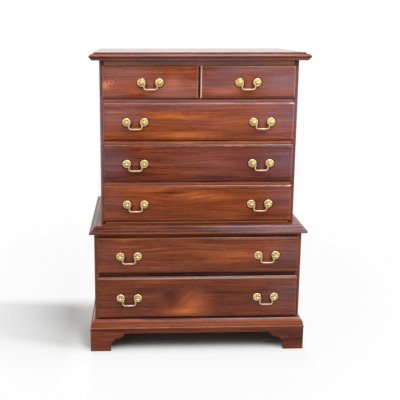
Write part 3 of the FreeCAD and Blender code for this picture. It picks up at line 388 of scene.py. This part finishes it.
def oblique(nodes, place, tone, contrast, seed, patches):
    """Figure of slanting grain, and how much of it shows at each point."""
    shown = 0.0
    figure = tone
    for x, z, half_width, half_height, angle in patches:
        turned = nodes.add("ShaderNodeMapping", {"vector_type": "TEXTURE"}, Vector=place,
                           Location=(x, seed, z), Rotation=(0, angle, 0)).outputs[0]
        terms = [tone]
        for look, weight in SLANTING_GRAIN:
            layer = nodes.centred(nodes.streaks(turned, *look))
            terms.append(nodes.times(layer, weight * contrast))
        soft = blob(nodes, place, x, z, half_width, half_height)
        patch = nodes.span(soft, *PATCH_FADE, smooth=True)
        figure = nodes.mix(patch, figure, nodes.total(*terms), "FLOAT")
        shown = nodes.larger(patch, shown)
    return figure, shown


def wood(name, stops, grain="x", seed=0.0, tone=0.45, corner=None, contrast=1.0, gloss=True,
         painted_shade=(1.0, 1.0), coats=(0.32, 0.7, 1.0), edge=0.0012, coat_ior=1.5, glows=(),
         blooms=(), bends=(), eyes=(), slants=(), rubs=(), plates=()):
    """Wood with grain bands, streaks, fibres and pores.

    Coats are the polish's weight on faces to the front, on slopes and on other faces. Tone and
    painted-light patches lighten or darken the figure, some as painted highlights and shade.
    Painted reflections are grey-purple films of painted reflection, and painted glints are pale
    painted highlights on edges. The painted shade darkens corners, gaps and faces under lips, and
    plates bring painted shadow round the rosettes. Each patch, reflection and glint is (x, z, half
    width, half height, amount).
    """
    nodes = new_material(name)
    place = nodes.place()
    flat = nodes.add("ShaderNodeNewGeometry").outputs["Normal"]
    across = nodes.math("ABSOLUTE", nodes.split(flat)[1])
    rounded = nodes.add("ShaderNodeBevel", {"samples": 4}, Radius=edge).outputs[0]

    wander = nodes.streaks(place, (6, 6, 14), shift=(seed, 0, 0))
    drift = nodes.times(nodes.centred(wander), WANDER)
    along = grain_vector(nodes, bent(nodes, place, bends, eyes), grain, corner)
    along = nodes.moved(along, seed, drift, seed)
    ragged = nodes.moved(place, nodes.times(drift, RAGGED), 0.0, drift)

    layers = {key: nodes.streaks(along, *look) for key, (look, _) in GRAIN.items()}
    terms = [tone]
    for key, (_, weight) in GRAIN.items():
        terms.append(nodes.times(nodes.centred(layers[key]), weight * contrast))
    if slants:
        slanting, shown = oblique(nodes, place, tone, contrast, seed, slants)
        terms = [nodes.mix(shown, nodes.total(*terms), slanting, "FLOAT")]
    # Patches of figure tone, and painted highlights and shade.
    for *where, amount in glows:
        terms.append(nodes.times(blob(nodes, ragged, *where), amount))
    for *where, _ in eyes:
        soft = blob(nodes, ragged, *where)
        ring = nodes.math("SINE", nodes.times(soft, EYE_RINGS))
        terms.append(nodes.times(nodes.times(ring, soft), EYE_WEIGHT))
    colour = nodes.ramp(nodes.total(*terms), stops)

    # Painted reflections: grey-purple films mixed into the colour.
    if blooms:
        reflection_noise = nodes.streaks(along, (3.5, 60, 60), 3.0, 0.6, shift=(4.0, 0, 0))
        reflection_patches = [nodes.times(blob(nodes, ragged, *where), amount) for *where, amount in blooms]
        reflection = nodes.times(nodes.total(*reflection_patches), nodes.span(reflection_noise, *NOISE_SPAN, *REFLECTION_VARIES))
        reflection = nodes.times(reflection, nodes.span(across, *REFLECTION_FACES))
        colour = nodes.mix(reflection, colour, REFLECTION_TINT)
    pore = nodes.span(nodes.streaks(along, PORE_SCALE, 1.0), *PORE_SPAN)
    colour = nodes.mix(nodes.times(pore, PORE_DARKNESS), colour, stops[0][1])
    facing = nodes.vector_math("DOT_PRODUCT", rounded, flat)["Value"]
    worn_and_glinting = nodes.times(nodes.span(facing, *EDGE_SPAN), nodes.span(layers["flame"], *EDGE_PARTS))
    colour = nodes.mix(nodes.times(worn_and_glinting, EDGE_WEAR_AND_GLINT), colour, stops[-2][1])
    # Painted glints: pale painted highlights on edges.
    for *where, amount in rubs:
        colour = nodes.mix(nodes.times(blob(nodes, place, *where), amount), colour, GLINT_PALE)

    haze = nodes.noise(place, 9.0, 3.0)
    grain_height = nodes.total(nodes.times(layers["fibre"], FIBRE_HEIGHT),
                               nodes.times(pore, PORE_HEIGHT))
    normal = nodes.bump(grain_height, *GRAIN_BUMP, rounded)
    if not gloss:
        shader = nodes.add("ShaderNodeBsdfPrincipled", Base_Color=colour, Normal=normal,
                           Roughness=nodes.span(haze, *NOISE_SPAN, *RAW_ROUGHNESS))
        return nodes.surface(shader.outputs[0])

    # Painted shade: darker in corners, gaps and under lips.
    for (reach, open_at, closed_at, strength), amount in zip(OCCLUSION_SHADE, painted_shade):
        crevice_shade = nodes.span(nodes.nearby(reach, OCCLUSION_SHADE_SAMPLES), open_at, closed_at)
        colour = nodes.mix(nodes.times(crevice_shade, strength * amount), colour, CREVICE_SHADE_DARK)
    # Painted shadow round the rosettes and between the bails' necks.
    if plates:
        colour = nodes.mix(plate_shadows(nodes, place, plates), colour, PLATE_SHADOW_DARK)
    front, slope, side = coats
    coat = nodes.total(nodes.span(across, *FRONT_TO_SLOPE, front, slope),
                       nodes.span(across, *SLOPE_TO_SIDE, 0.0, side - slope))
    wave = nodes.streaks(along, (3, 9, 9), 1.0)
    shader = nodes.add("ShaderNodeBsdfPrincipled", Base_Color=colour, Normal=normal,
                       Roughness=nodes.span(haze, *NOISE_SPAN, *POLISHED_ROUGHNESS),
                       Specular_IOR_Level=SPECULAR, Coat_Weight=coat,
                       Coat_Roughness=COAT_ROUGHNESS, Coat_IOR=coat_ior,
                       Coat_Normal=nodes.bump(wave, *WAVE_BUMP, rounded))
    return nodes.surface(shader.outputs[0])


# Figure of each drawer front, with painted highlights, shade and reflections. Every entry starts
# with its place from the front's middle, (across, up), and its half width and half height. Tone
# and painted-light patches, painted reflections and painted glints end in an amount, eyes in how
# far the grain closes round them, bends in a bow and a slant, and slants in an angle.
FIGURES = {
    "small_left_drawer": {
        "seed": 3.1, "tone": 0.50,
        "glows": [(-0.190, -0.012, 0.034, 0.030, 0.30), (-0.060, 0.040, 0.080, 0.016, 0.10),
                  (0.092, 0.000, 0.070, 0.045, 0.16), (-0.060, -0.060, 0.140, 0.012, -0.22)],
        "blooms": [(-0.120, 0.040, 0.200, 0.060, 0.30), (0.100, -0.030, 0.220, 0.100, 0.22),
                   (-0.160, -0.030, 0.140, 0.080, 0.16)],
        "eyes": [(-0.166, 0.000, 0.046, 0.038, 0.85)]},
    "small_right_drawer": {
        "seed": 9.7, "tone": 0.47,
        "glows": [(-0.127, -0.008, 0.100, 0.032, -0.22), (0.012, 0.046, 0.130, 0.026, 0.14),
                  (-0.105, -0.042, 0.110, 0.018, 0.22)],
        "blooms": [(0.150, 0.000, 0.200, 0.120, 0.42), (-0.040, 0.050, 0.200, 0.050, 0.26),
                   (-0.120, -0.010, 0.160, 0.100, 0.26)],
        # Painted highlight along the left edge.
        "rubs": [(-0.2015, 0.000, 0.0055, 0.300, 0.85)],
        "bends": [(0.120, 0.000, 0.120, 0.050, 0.010, 0.0)]},
    "second_drawer": {
        "seed": 15.3, "tone": 0.47,
        "glows": [(-0.087, 0.026, 0.200, 0.022, 0.20), (-0.035, -0.056, 0.220, 0.022, 0.24),
                  (0.117, 0.009, 0.180, 0.045, 0.10), (-0.370, 0.043, 0.060, 0.008, 0.22),
                  (-0.150, 0.066, 0.300, 0.012, -0.18),
                  (0.400, 0.010, 0.110, 0.100, -0.12)],
        "blooms": [(0.390, 0.020, 0.240, 0.140, 0.34), (-0.360, 0.020, 0.200, 0.100, 0.24),
                   (-0.020, 0.070, 0.400, 0.030, 0.26), (0.100, 0.000, 0.400, 0.120, 0.08)],
        # Painted highlight at the top right corner.
        "rubs": [(0.402, 0.079, 0.022, 0.005, 0.45)],
        "bends": [(0.050, -0.020, 0.250, 0.070, 0.012, 0.0)]},
    "third_drawer": {
        "seed": 21.9, "tone": 0.33,
        "glows": [(0.100, 0.005, 0.250, 0.050, 0.05), (-0.350, 0.050, 0.150, 0.030, -0.08)],
        "blooms": [(0.400, 0.020, 0.220, 0.140, 0.30), (-0.400, 0.010, 0.180, 0.120, 0.26),
                   (0.080, 0.000, 0.420, 0.140, 0.11)],
        "bends": [(-0.100, 0.000, 0.300, 0.060, 0.010, 0.0)]},
    "fourth_drawer": {
        "seed": 27.4, "tone": 0.41,
        "glows": [(-0.210, 0.068, 0.280, 0.018, 0.22), (0.013, 0.029, 0.180, 0.040, 0.22),
                  (0.125, 0.036, 0.160, 0.024, 0.16), (-0.143, 0.050, 0.140, 0.010, -0.26),
                  (0.372, 0.010, 0.090, 0.050, -0.10), (0.050, -0.050, 0.200, 0.030, 0.08)],
        "blooms": [(0.400, 0.030, 0.180, 0.120, 0.18), (-0.400, 0.010, 0.160, 0.120, 0.12)],
        # Painted highlight at the top right corner.
        "rubs": [(0.402, 0.079, 0.022, 0.005, 0.45)],
        "bends": [(-0.100, 0.010, 0.220, 0.080, 0.022, 0.0)]},
    "fifth_drawer": {
        "seed": 33.6, "tone": 0.38,
        "glows": [(0.140, 0.001, 0.210, 0.032, 0.24), (-0.336, 0.070, 0.090, 0.010, 0.20),
                  (-0.035, 0.013, 0.180, 0.016, 0.10), (0.120, -0.025, 0.140, 0.016, 0.12),
                  # The last patch below is a painted highlight along the top lip.
                  (0.405, 0.020, 0.110, 0.100, -0.10), (0.000, 0.078, 0.900, 0.007, 0.20)],
        "blooms": [(0.420, 0.010, 0.180, 0.120, 0.18), (-0.420, 0.010, 0.120, 0.100, 0.06)],
        "bends": [(-0.050, 0.020, 0.250, 0.060, -0.010, 0.0)]},
    "sixth_drawer": {
        "seed": 41.2, "tone": 0.34,
        "glows": [(-0.015, -0.034, 0.120, 0.110, 0.28), (-0.090, -0.068, 0.120, 0.030, 0.24),
                  (-0.120, 0.010, 0.060, 0.060, -0.12), (0.125, -0.011, 0.150, 0.090, -0.06),
                  # Painted shade along the top edge.
                  (0.000, 0.0980, 0.900, 0.006, -0.60)],
        # Painted highlight along the top lip.
        "rubs": [(0.000, 0.0890, 0.900, 0.005, 0.42)],
        "blooms": [(0.420, 0.010, 0.200, 0.140, 0.16)],
        "slants": [(-0.085, -0.010, 0.180, 0.130, -0.80)]},
}

# Half width of the lines below, which run all along the chest.
WIDE = 0.900
# Painted shade along the blade under the small drawers, and painted light along the top rail under
# the cornice.
RAIL_PAINTED_LIGHT = [(0.0, 1.110, WIDE, 0.030, -0.25), (0.0, 1.272, WIDE, 0.045, 0.85)]
# Painted shade on the right foot.
FOOT_PAINTED_SHADE = [(0.440, 0.060, 0.160, 0.080, -0.10)]
# Painted grey-purple reflections on the mouldings, rails, case sides and top.
MOULDING_REFLECTIONS = [(0.0, 1.285, 0.700, 0.090, 0.60), (0.0, 0.140, WIDE, 0.030, 0.10),
                   (0.350, 0.556, 0.400, 0.060, 0.30)]
RAIL_REFLECTIONS = [(0.0, 1.285, WIDE, 0.050, 0.06), (0.0, 1.110, WIDE, 0.040, 0.40),
               (0.0, 0.950, WIDE, 0.500, 0.12)]
CASE_REFLECTIONS = [(0.0, 1.285, 0.700, 0.090, 0.60), (-0.440, 1.000, 0.100, 0.500, 0.52),
               (0.440, 1.050, 0.100, 0.500, 0.34)]
TOP_REFLECTIONS = [(0.0, 1.315, WIDE, 0.060, 0.10)]

# Painted highlights and shade in lines along a board, each from an edge that the CAD gives: (up
# from it, half height, amount).
# Painted highlights and shade along the waist moulding.
WAIST_LIGHT_AND_SHADE = [(0.002, 0.005, -0.10), (0.006, 0.005, 0.30), (0.0135, 0.007, -0.28),
               (0.025, 0.008, -0.08)]
# Painted shadow along the base moulding's top.
BASE_TOP_SHADOW = (-0.001, 0.007, -0.55)
# Painted light on the rail just above the waist moulding.
SEAM_LIGHT = (0.006, 0.024, 0.85)
LIP_SHADOW = (-0.001, 0.0055, -0.75)
# Painted shade along the blade over the sixth drawer.
BLADE_SHADE = (0.0, 0.030, -0.30)
# Painted light along the lower rail under the waist moulding.
UNDER_WAIST_LIGHT = (-0.010, 0.022, 0.16)

# Moulded frames: seed, tone, whose corner, the polish's IOR and coats.
MOULDINGS = {
    "base_moulding": (51.0, 0.52, "lower_side_right", 1.5, (0.45, 0.20, 1.00)),
    "bracket_base": (57.0, 0.32, "lower_side_right", 1.5, (0.28, 0.50, 0.80)),
    "waist_moulding": (63.0, 0.32, "lower_side_right", 2.3, (0.09, 0.02, 0.60)),
    "cornice_moulding": (69.0, 0.50, "upper_side_right", 1.5, (0.40, 0.70, 1.00)),
}
CASE_SIDES = {"upper_side_left": 87.0, "upper_side_right": 94.0,
              "lower_side_left": 101.0, "lower_side_right": 108.0}


def bottom(node):
    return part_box(node)[0][2]


def top(node):
    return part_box(node)[1][2]


def middle(node):
    """Centre of a node's front, seen from the front."""
    low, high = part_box(node)
    return (low[0] + high[0]) / 2, (low[2] + high[2]) / 2


def line(level, up, half_height, amount):
    """Painted band all along the chest, lighter or darker by its amount, some way up from a level.
    """
    return 0.0, level + up, WIDE, half_height, amount


def plates_of(drawer):
    """Centres of a drawer's rosettes, (x, z), from the hinges of its bails."""
    found = []
    for joint in frame["joints"]:
        if joint["parent"] == drawer and joint["child"].endswith("_bail"):
            x, _, z = joint["pos_m"]
            found += [(x - POST_OFFSET, z), (x + POST_OFFSET, z)]
    return found


def paint_drawers():
    """Each drawer front in a figure of its own."""
    for drawer, figure in FIGURES.items():
        across, up = middle(f"{drawer}_front")
        moved = {}
        for key in ("glows", "blooms", "bends", "eyes", "slants", "rubs"):
            moved[key] = [(across + x, up + z, *rest) for x, z, *rest in figure.get(key, ())]
        material = wood(f"mahogany_{drawer}", MAHOGANY, seed=figure["seed"], edge=0.0025,
                        tone=figure["tone"], plates=plates_of(drawer), **moved)
        paint([f"{drawer}_front"], material)


def paint_mouldings():
    """Moulded frames, mitred at the case's front corners."""
    # Painted highlights and shade along the waist moulding and the base moulding's top.
    lines = [line(bottom("waist_moulding"), *entry) for entry in WAIST_LIGHT_AND_SHADE]
    lines.append(line(top("base_moulding"), *BASE_TOP_SHADOW))
    for name, (seed, tone, side, coat_ior, coats) in MOULDINGS.items():
        low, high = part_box(side)
        material = wood(f"mahogany_{name}", MAHOGANY, seed=seed, tone=tone,
                        corner=(high[0], low[1]), painted_shade=(0.9, 1.0), coats=coats,
                        coat_ior=coat_ior, blooms=MOULDING_REFLECTIONS, glows=FOOT_PAINTED_SHADE + lines)
        paint([name], material)


def paint_cases():
    """Top, rails, sides and divider."""
    paint(["upper_top"], wood("mahogany_top", MAHOGANY, seed=75.0, tone=0.34,
                              coats=(0.05, 0.45, 1.0), blooms=TOP_REFLECTIONS))
    # Painted light and shade on the upper rails: their pale tone, the bands along them, the light
    # above the waist moulding and the shadow under the drawers' lips.
    rail_painted_light = RAIL_PAINTED_LIGHT + [line(top("waist_moulding"), *SEAM_LIGHT)]
    for drawer in ("small_left_drawer", "second_drawer", "third_drawer"):
        rail_painted_light.append(line(bottom(f"{drawer}_front"), *LIP_SHADOW))
    paint(["upper_rails"], wood("mahogany_upper_rails", MAHOGANY, seed=81.0, tone=0.62,
                                painted_shade=(0.15, 0.8), blooms=CASE_REFLECTIONS + RAIL_REFLECTIONS,
                                glows=rail_painted_light))
    # Painted shade on the lower rails: their dark tone and the line over the sixth drawer; painted
    # light along the rail under the waist moulding.
    lower_painted_light = [line(top("sixth_drawer_front"), *BLADE_SHADE),
                   line(bottom("waist_moulding"), *UNDER_WAIST_LIGHT)]
    paint(["lower_rails"], wood("mahogany_lower_rails", MAHOGANY, seed=84.0, tone=0.26,
                                glows=lower_painted_light, painted_shade=(1.0, 0.8), coats=(0.1, 0.2, 0.3)))
    for name, seed in CASE_SIDES.items():
        paint([name], wood(f"mahogany_{name}", MAHOGANY, grain="z", seed=seed, tone=0.40,
                           blooms=CASE_REFLECTIONS))
    # The divider's dark tone is painted shade in the gap between the small drawers.
    paint(["upper_divider"], wood("mahogany_divider", MAHOGANY, grain="z", seed=115.0, tone=0.20))


def paint_pale_wood():
    """Unpolished wood of the drawer boxes, runners, backs, bottoms and blocks."""
    pale = {"x": [], "y": []}
    for part in frame["record"]["subparts"]:
        if part["material_slot"] == "secondary_wood":
            lengthwise = part["node"].endswith(("_box", "_runners"))
            pale["y" if lengthwise else "x"].append(part["node"])
    for grain, names in pale.items():
        paint(names, wood(f"pale_wood_{grain}", PALE_WOOD, grain=grain, seed=120.0, tone=0.5,
                          contrast=0.7, gloss=False))


# ---------------------------------------------------------------- brass
DULL_BRASS = (0.76, 0.57, 0.33)
BRIGHT_BRASS = (0.90, 0.71, 0.44)
OLIVE = (0.46, 0.38, 0.11)
DISH_OLIVE = (0.30, 0.25, 0.05)
CENTRE_GOLD = (0.66, 0.55, 0.18)
ROSY_RIM = (0.98, 0.70, 0.54)
HOLLOW_DARK = (0.13, 0.10, 0.02)
HOLLOW_REACH = 0.006
HOLLOW_SAMPLES = 6
HOLLOW_SPAN = (0.66, 0.30)
HOLLOW_STRENGTH = 0.9
OLIVE_SPAN = (0.50, 0.62)
OLIVE_STRENGTH = 0.62
# Rings of a plate, by the distance from its centre.
DISH_STARTS, DISH_ENDS = (0.0045, 0.0065), (0.0148, 0.0128)
DISH_STRENGTH = 0.8
CENTRE_SPAN = (0.0060, 0.0045, 0.0, 0.75)
RIM_SPAN = (0.0146, 0.0158)
RIM_STRENGTH = (0.35, 0.60, 0.1, 0.75)
ROUGHNESS_VARIES = 0.14
CAST_BUMP = (0.4, 0.0005)


def brass(name, tone, blue=1.0, plates=(), rough=0.35):
    """Polished cast brass: rosy gold, olive in the hollows, dark where cloths don't reach.

    Given the centres of its plates, (x, z), it also has their gold centres, olive dishes and
    rosy rims.
    """
    nodes = new_material(name)
    point = nodes.place()
    cloud = nodes.noise(point, 90.0, 3.0)
    mottle = nodes.noise(point, 150.0, 2.0, 0.6)
    fine = nodes.noise(point, 900.0, 2.0)
    dull, bright = [(red * tone, green * tone, low * tone * blue)
                    for red, green, low in (DULL_BRASS, BRIGHT_BRASS)]
    colour = nodes.mix(nodes.span(cloud, 0.35, 0.7), dull, bright)
    stain = nodes.times(nodes.span(mottle, *OLIVE_SPAN), OLIVE_STRENGTH)
    colour = nodes.mix(stain, colour, OLIVE)
    if plates:
        away = nearest(nodes, point, plates)
        dish = nodes.times(nodes.span(away, *DISH_STARTS), nodes.span(away, *DISH_ENDS))
        colour = nodes.mix(nodes.times(dish, DISH_STRENGTH), colour, DISH_OLIVE)
        colour = nodes.mix(nodes.span(away, *CENTRE_SPAN), colour, CENTRE_GOLD)
        rim = nodes.times(nodes.span(away, *RIM_SPAN), nodes.span(cloud, *RIM_STRENGTH))
        colour = nodes.mix(rim, colour, ROSY_RIM)
    hollow = nodes.span(nodes.nearby(HOLLOW_REACH, HOLLOW_SAMPLES), *HOLLOW_SPAN)
    colour = nodes.mix(nodes.times(hollow, HOLLOW_STRENGTH), colour, HOLLOW_DARK)
    normal = nodes.bump(nodes.total(cloud, mottle, nodes.times(fine, 0.3)), *CAST_BUMP)
    shader = nodes.add("ShaderNodeBsdfPrincipled", Base_Color=colour, Metallic=1.0, Normal=normal,
                       Roughness=nodes.span(cloud, *NOISE_SPAN, rough, rough + ROUGHNESS_VARIES))
    return nodes.surface(shader.outputs[0])


def paint_brass():
    """Bails in one brass, and each drawer's rosettes and posts in another."""
    bail_brass = brass("brass_bails", 0.65, 1.18, rough=0.55)
    for part in frame["record"]["subparts"]:
        node = part["node"]
        if part["material_slot"] != "brass":
            continue
        if node.endswith("_bail"):
            paint([node], bail_brass)
        else:
            drawer = node.replace("_pull_fixings", "")
            paint([node], brass(f"brass_{drawer}", 1.02, 0.80, plates_of(drawer)))


# ---------------------------------------------------------------- rosette petals
PETALS = 6
PETAL_START, PETAL_END = 0.0056, 0.0136
PETAL_HALF = 0.0031
PETAL_RISE = 0.0013
PETAL_SINKS = 0.0006
DISH_INNER, DISH_OUTER = 0.0030, 0.0018
VEIN_DEPTH, VEIN_SHARPNESS = 0.25, 5
STEPS_ALONG, STEPS_ACROSS = 14, 8


def petal_point(turn, along, across, sunk):
    """Point of a petal: along runs 0..1 outwards, across -1..1, sunk goes into the dish."""
    radius = PETAL_START + (PETAL_END - PETAL_START) * along
    half = PETAL_HALF * (0.12 + 0.88 * math.sin(math.pi * min(along * 0.9 + 0.12, 1)) ** 0.8)
    side = half * across
    seat = DISH_INNER + (DISH_OUTER - DISH_INNER) * along
    dome = (1 - across * across) * math.sin(math.pi * (0.08 + 0.84 * along)) ** 0.6
    vein = VEIN_DEPTH * math.exp(-(across * VEIN_SHARPNESS) ** 2)
    height = seat + PETAL_RISE * dome * (1 - vein)
    if sunk:
        height = seat - PETAL_SINKS
    angle = turn * math.tau / PETALS
    x = radius * math.cos(angle) - side * math.sin(angle)
    z = radius * math.sin(angle) + side * math.cos(angle)
    return x, -height, z


def petal_layer(mesh, turn, sunk):
    """Grid of a petal's points, in rows outwards."""
    rows = []
    for i in range(STEPS_ALONG + 1):
        row = []
        for j in range(STEPS_ACROSS + 1):
            across = 2 * j / STEPS_ACROSS - 1
            row.append(mesh.verts.new(petal_point(turn, i / STEPS_ALONG, across, sunk)))
        rows.append(row)
    return rows


def petal_mesh():
    """Ring of closed petals, its middle at the origin and its back on the drawer's face."""
    mesh = bmesh.new()
    for turn in range(PETALS):
        outer = petal_layer(mesh, turn + 0.5, False)
        inner = petal_layer(mesh, turn + 0.5, True)
        for i in range(STEPS_ALONG):
            for j in range(STEPS_ACROSS):
                mesh.faces.new((outer[i][j], outer[i][j + 1], outer[i + 1][j + 1], outer[i + 1][j]))
                mesh.faces.new((inner[i][j], inner[i + 1][j], inner[i + 1][j + 1], inner[i][j + 1]))
            for j, order in ((0, 1), (STEPS_ACROSS, -1)):
                wall = (outer[i][j], outer[i + 1][j], inner[i + 1][j], inner[i][j])
                mesh.faces.new(wall[::order])
        for j in range(STEPS_ACROSS):
            for i, order in ((0, -1), (STEPS_ALONG, 1)):
                wall = (outer[i][j], outer[i][j + 1], inner[i][j + 1], inner[i][j])
                mesh.faces.new(wall[::order])
    bmesh.ops.recalc_face_normals(mesh, faces=mesh.faces)
    for ring_face in mesh.faces:
        ring_face.smooth = True
    data = bpy.data.meshes.new("petals")
    mesh.to_mesh(data)
    mesh.free()
    return data


def add_petals(material):
    """Petals in the dish of every rosette."""
    for joint in frame["joints"]:
        if not joint["name"].endswith("_bail_hinge"):
            continue
        drawer = joint["parent"]
        x, _, z = joint["pos_m"]
        face_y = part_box(f"{drawer}_front")[0][1]
        for side, shift in (("left", -POST_OFFSET), ("right", POST_OFFSET)):
            data = petal_mesh()
            data.transform(Matrix.Translation((x + shift, face_y, z)))
            data.materials.append(material)
            name = joint["name"].replace("_bail_hinge", f"_{side}_petals")
            petals = bpy.data.objects.new(name, data)
            scene.collection.objects.link(petals)
            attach(petals, drawer)


# ---------------------------------------------------------------- studio
WHITE = (1, 1, 1)
FLOOR_RADIUS = 1.9
FLOOR_CORNERS = 96
SHADE_REACH = 0.75
SHADE_SAMPLES = 16
# Painted shadow on the floor: its tone by how open it is, from under the chest to the open floor.
PAINTED_FLOOR_SHADOW = [
    (0.00, (0.210, 0.217, 0.222)),
    (0.18, (0.115, 0.117, 0.119)),
    (0.42, (0.36, 0.36, 0.36)),
    (0.65, (0.32, 0.32, 0.32)),
    (0.80, (0.31, 0.31, 0.31)),
    (1.00, (0.40, 0.40, 0.40)),
]
# Soft edges between the ground that shows the shadow and the white: where each starts and
# ends. Left of the corner the front edge slants, and it softens with the distance.
SHADOW_CORNER_X = -0.5
FRONT_EDGE = (-0.193, -0.287)
FRONT_SLANTS = (0.55, 0.40)
FRONT_WHITE = (-0.25, -0.42, 0.84, 1.0)
BACK_EDGE = (0.08, 0.25)
RIGHT_EDGE = (0.43, 0.50)
LEFT_EDGE = (-0.85, -FLOOR_RADIUS)
# How far the ground shows as white backdrop, by how open it is, and all the white towards the rim.
OPEN_WHITE = (0.60, 1.0, 0.0, 0.6)
RIM_WHITE = (1.1, FLOOR_RADIUS - 0.05, 0.92, 1.0)
# Strip of floor just left of the chest, painted lighter, with a painted darker front.
STRIP_EDGES = ((-0.46, -0.48), (-0.60, -0.50))
STRIP_PAINTED_LIGHT = (0.85, 0.85, 0.85)
STRIP_WEIGHT = 0.52
STRIP_PAINTED_SHADE = (0.06, -0.10, 0.0, 0.29)
BLACK = (0.0, 0.0, 0.0)

# What polish and metal mirror, by direction: white behind, paler at the sides and above.
WHITE_BEHIND = (-0.30, 0.30)
WHITE_SIDES = (0.35, 0.90)
SIDES_STRENGTH = 0.9
WHITE_ABOVE = (0.10, 0.80)
ABOVE_STRENGTH = 0.8
DARKEST_MIRRORED = 0.08
# The world's own light: from which height it grows and where it is full, darkest and brightest.
LIGHT_FROM_ABOVE = (-0.05, 0.75, 0.06, 0.95)

CHEST_MIDDLE = (0, -0.2, 0.8)
# Lamps: place, what it faces, size and watts.
LAMPS = {
    "key": ((1.0, -1.9, 3.1), (0.0, -0.2, 0.6), (1.2, 1.0), 92),
    "fill": ((-1.9, -2.2, 2.4), (0, -0.2, 0.7), (1.0, 1.0), 26),
    "right_strip": ((2.4, -0.9, 1.1), CHEST_MIDDLE, (0.5, 1.8), 34),
    "left_strip": ((-2.4, -0.7, 1.1), CHEST_MIDDLE, (0.5, 1.8), 20),
    "overhead": ((0.2, -0.6, 3.2), CHEST_MIDDLE, (1.8, 0.9), 62),
}


def add_lamp(name, at, target, size, watts):
    data = bpy.data.lights.new(name, "AREA")
    data.shape = "RECTANGLE"
    data.size, data.size_y = size
    data.energy = watts
    lamp = bpy.data.objects.new(name, data)
    lamp.location = at
    lamp.rotation_euler = (Vector(target) - lamp.location).to_track_quat("-Z", "Y").to_euler()
    scene.collection.objects.link(lamp)


def mirror_rays(nodes, rays):
    """1 for rays that metal and glass send on."""
    return nodes.larger(rays["Is Glossy Ray"], rays["Is Transmission Ray"])


def add_world():
    """White backdrop for what looks at it, soft light from above for the rest."""
    world = bpy.data.worlds.new("studio")
    scene.world = world
    nodes = Nodes(world)
    direction = nodes.add("ShaderNodeTexCoord").outputs["Generated"]
    x, y, z = nodes.split(direction)
    rays = nodes.add("ShaderNodeLightPath").outputs
    behind = nodes.span(y, *WHITE_BEHIND, smooth=True)
    sides = nodes.span(nodes.math("ABSOLUTE", x), *WHITE_SIDES, smooth=True)
    above = nodes.span(z, *WHITE_ABOVE, smooth=True)
    seen = nodes.larger(behind, nodes.times(sides, SIDES_STRENGTH))
    seen = nodes.larger(seen, nodes.times(above, ABOVE_STRENGTH))
    mirrored = nodes.span(seen, 0.0, 1.0, DARKEST_MIRRORED, 1.0)
    lighting = nodes.span(z, *LIGHT_FROM_ABOVE, smooth=True)
    unseen = nodes.mix(mirror_rays(nodes, rays), lighting, mirrored, "FLOAT")
    strength = nodes.mix(rays["Is Camera Ray"], unseen, 1.0, "FLOAT")
    background = nodes.add("ShaderNodeBackground", Color=WHITE, Strength=strength)
    output = nodes.add("ShaderNodeOutputWorld")
    nodes.tree.links.new(background.outputs[0], output.inputs["Surface"])


def floor_white(nodes, x, y, nearby):
    """How far the floor is backdrop at each point: 0 shows the shadow, 1 is white."""
    left = nodes.larger(nodes.less(SHADOW_CORNER_X, x), 0.0)
    slanting = nodes.less(y, nodes.times(left, FRONT_SLANTS[0]))
    softest = nodes.less(FRONT_EDGE[1], nodes.times(left, FRONT_SLANTS[1]))
    front = nodes.span(slanting, FRONT_EDGE[0], softest, smooth=True)
    white = nodes.times(front, nodes.span(y, *FRONT_WHITE))
    for value, edge in ((y, BACK_EDGE), (x, RIGHT_EDGE), (x, LEFT_EDGE)):
        white = nodes.larger(white, nodes.span(value, *edge, smooth=True))
    white = nodes.larger(white, nodes.span(nearby, *OPEN_WHITE))
    away = nodes.vector_math("LENGTH", nodes.place())["Value"]
    return nodes.times(white, nodes.span(away, *RIM_WHITE))


def floor_painted_shadow(nodes, x, y, nearby):
    """Painted shadow: the floor's tone where it takes the shadow."""
    shade = nodes.ramp(nearby, PAINTED_FLOOR_SHADOW)
    inner, outer = STRIP_EDGES
    beside = nodes.times(nodes.span(x, *inner), nodes.span(x, *outer))
    shade = nodes.mix(nodes.times(beside, STRIP_WEIGHT), shade, STRIP_PAINTED_LIGHT)
    return nodes.mix(nodes.times(beside, nodes.span(y, *STRIP_PAINTED_SHADE)), shade, BLACK)


def add_floor():
    """Pale round floor that keeps the shadow, with painted shadow near the chest, and passes into
    the white backdrop at its rim.
    """
    bpy.ops.mesh.primitive_circle_add(vertices=FLOOR_CORNERS, radius=FLOOR_RADIUS,
                                      fill_type="NGON")
    floor = bpy.context.object
    floor.name = "floor"
    nodes = new_material("floor")
    x, y, _ = nodes.split(nodes.place())
    nearby = nodes.nearby(SHADE_REACH, SHADE_SAMPLES)
    rays = nodes.add("ShaderNodeLightPath").outputs
    looks = nodes.larger(rays["Is Camera Ray"], mirror_rays(nodes, rays))
    shown = nodes.times(floor_white(nodes, x, y, nearby), looks)
    pale = nodes.add("ShaderNodeBsdfDiffuse", Color=floor_painted_shadow(nodes, x, y, nearby)).outputs[0]
    white = nodes.add("ShaderNodeEmission", Color=WHITE, Strength=1.0).outputs[0]
    both = nodes.numbered("ShaderNodeMixShader", {}, shown, pale, white).outputs[0]
    floor.data.materials.append(nodes.surface(both))


add_camera()
paint_drawers()
paint_mouldings()
paint_cases()
paint_pale_wood()
paint_brass()
add_petals(brass("brass_petals", 1.04, 0.80))
add_world()
add_floor()
for lamp_name, lamp_settings in LAMPS.items():
    add_lamp(lamp_name, *lamp_settings)
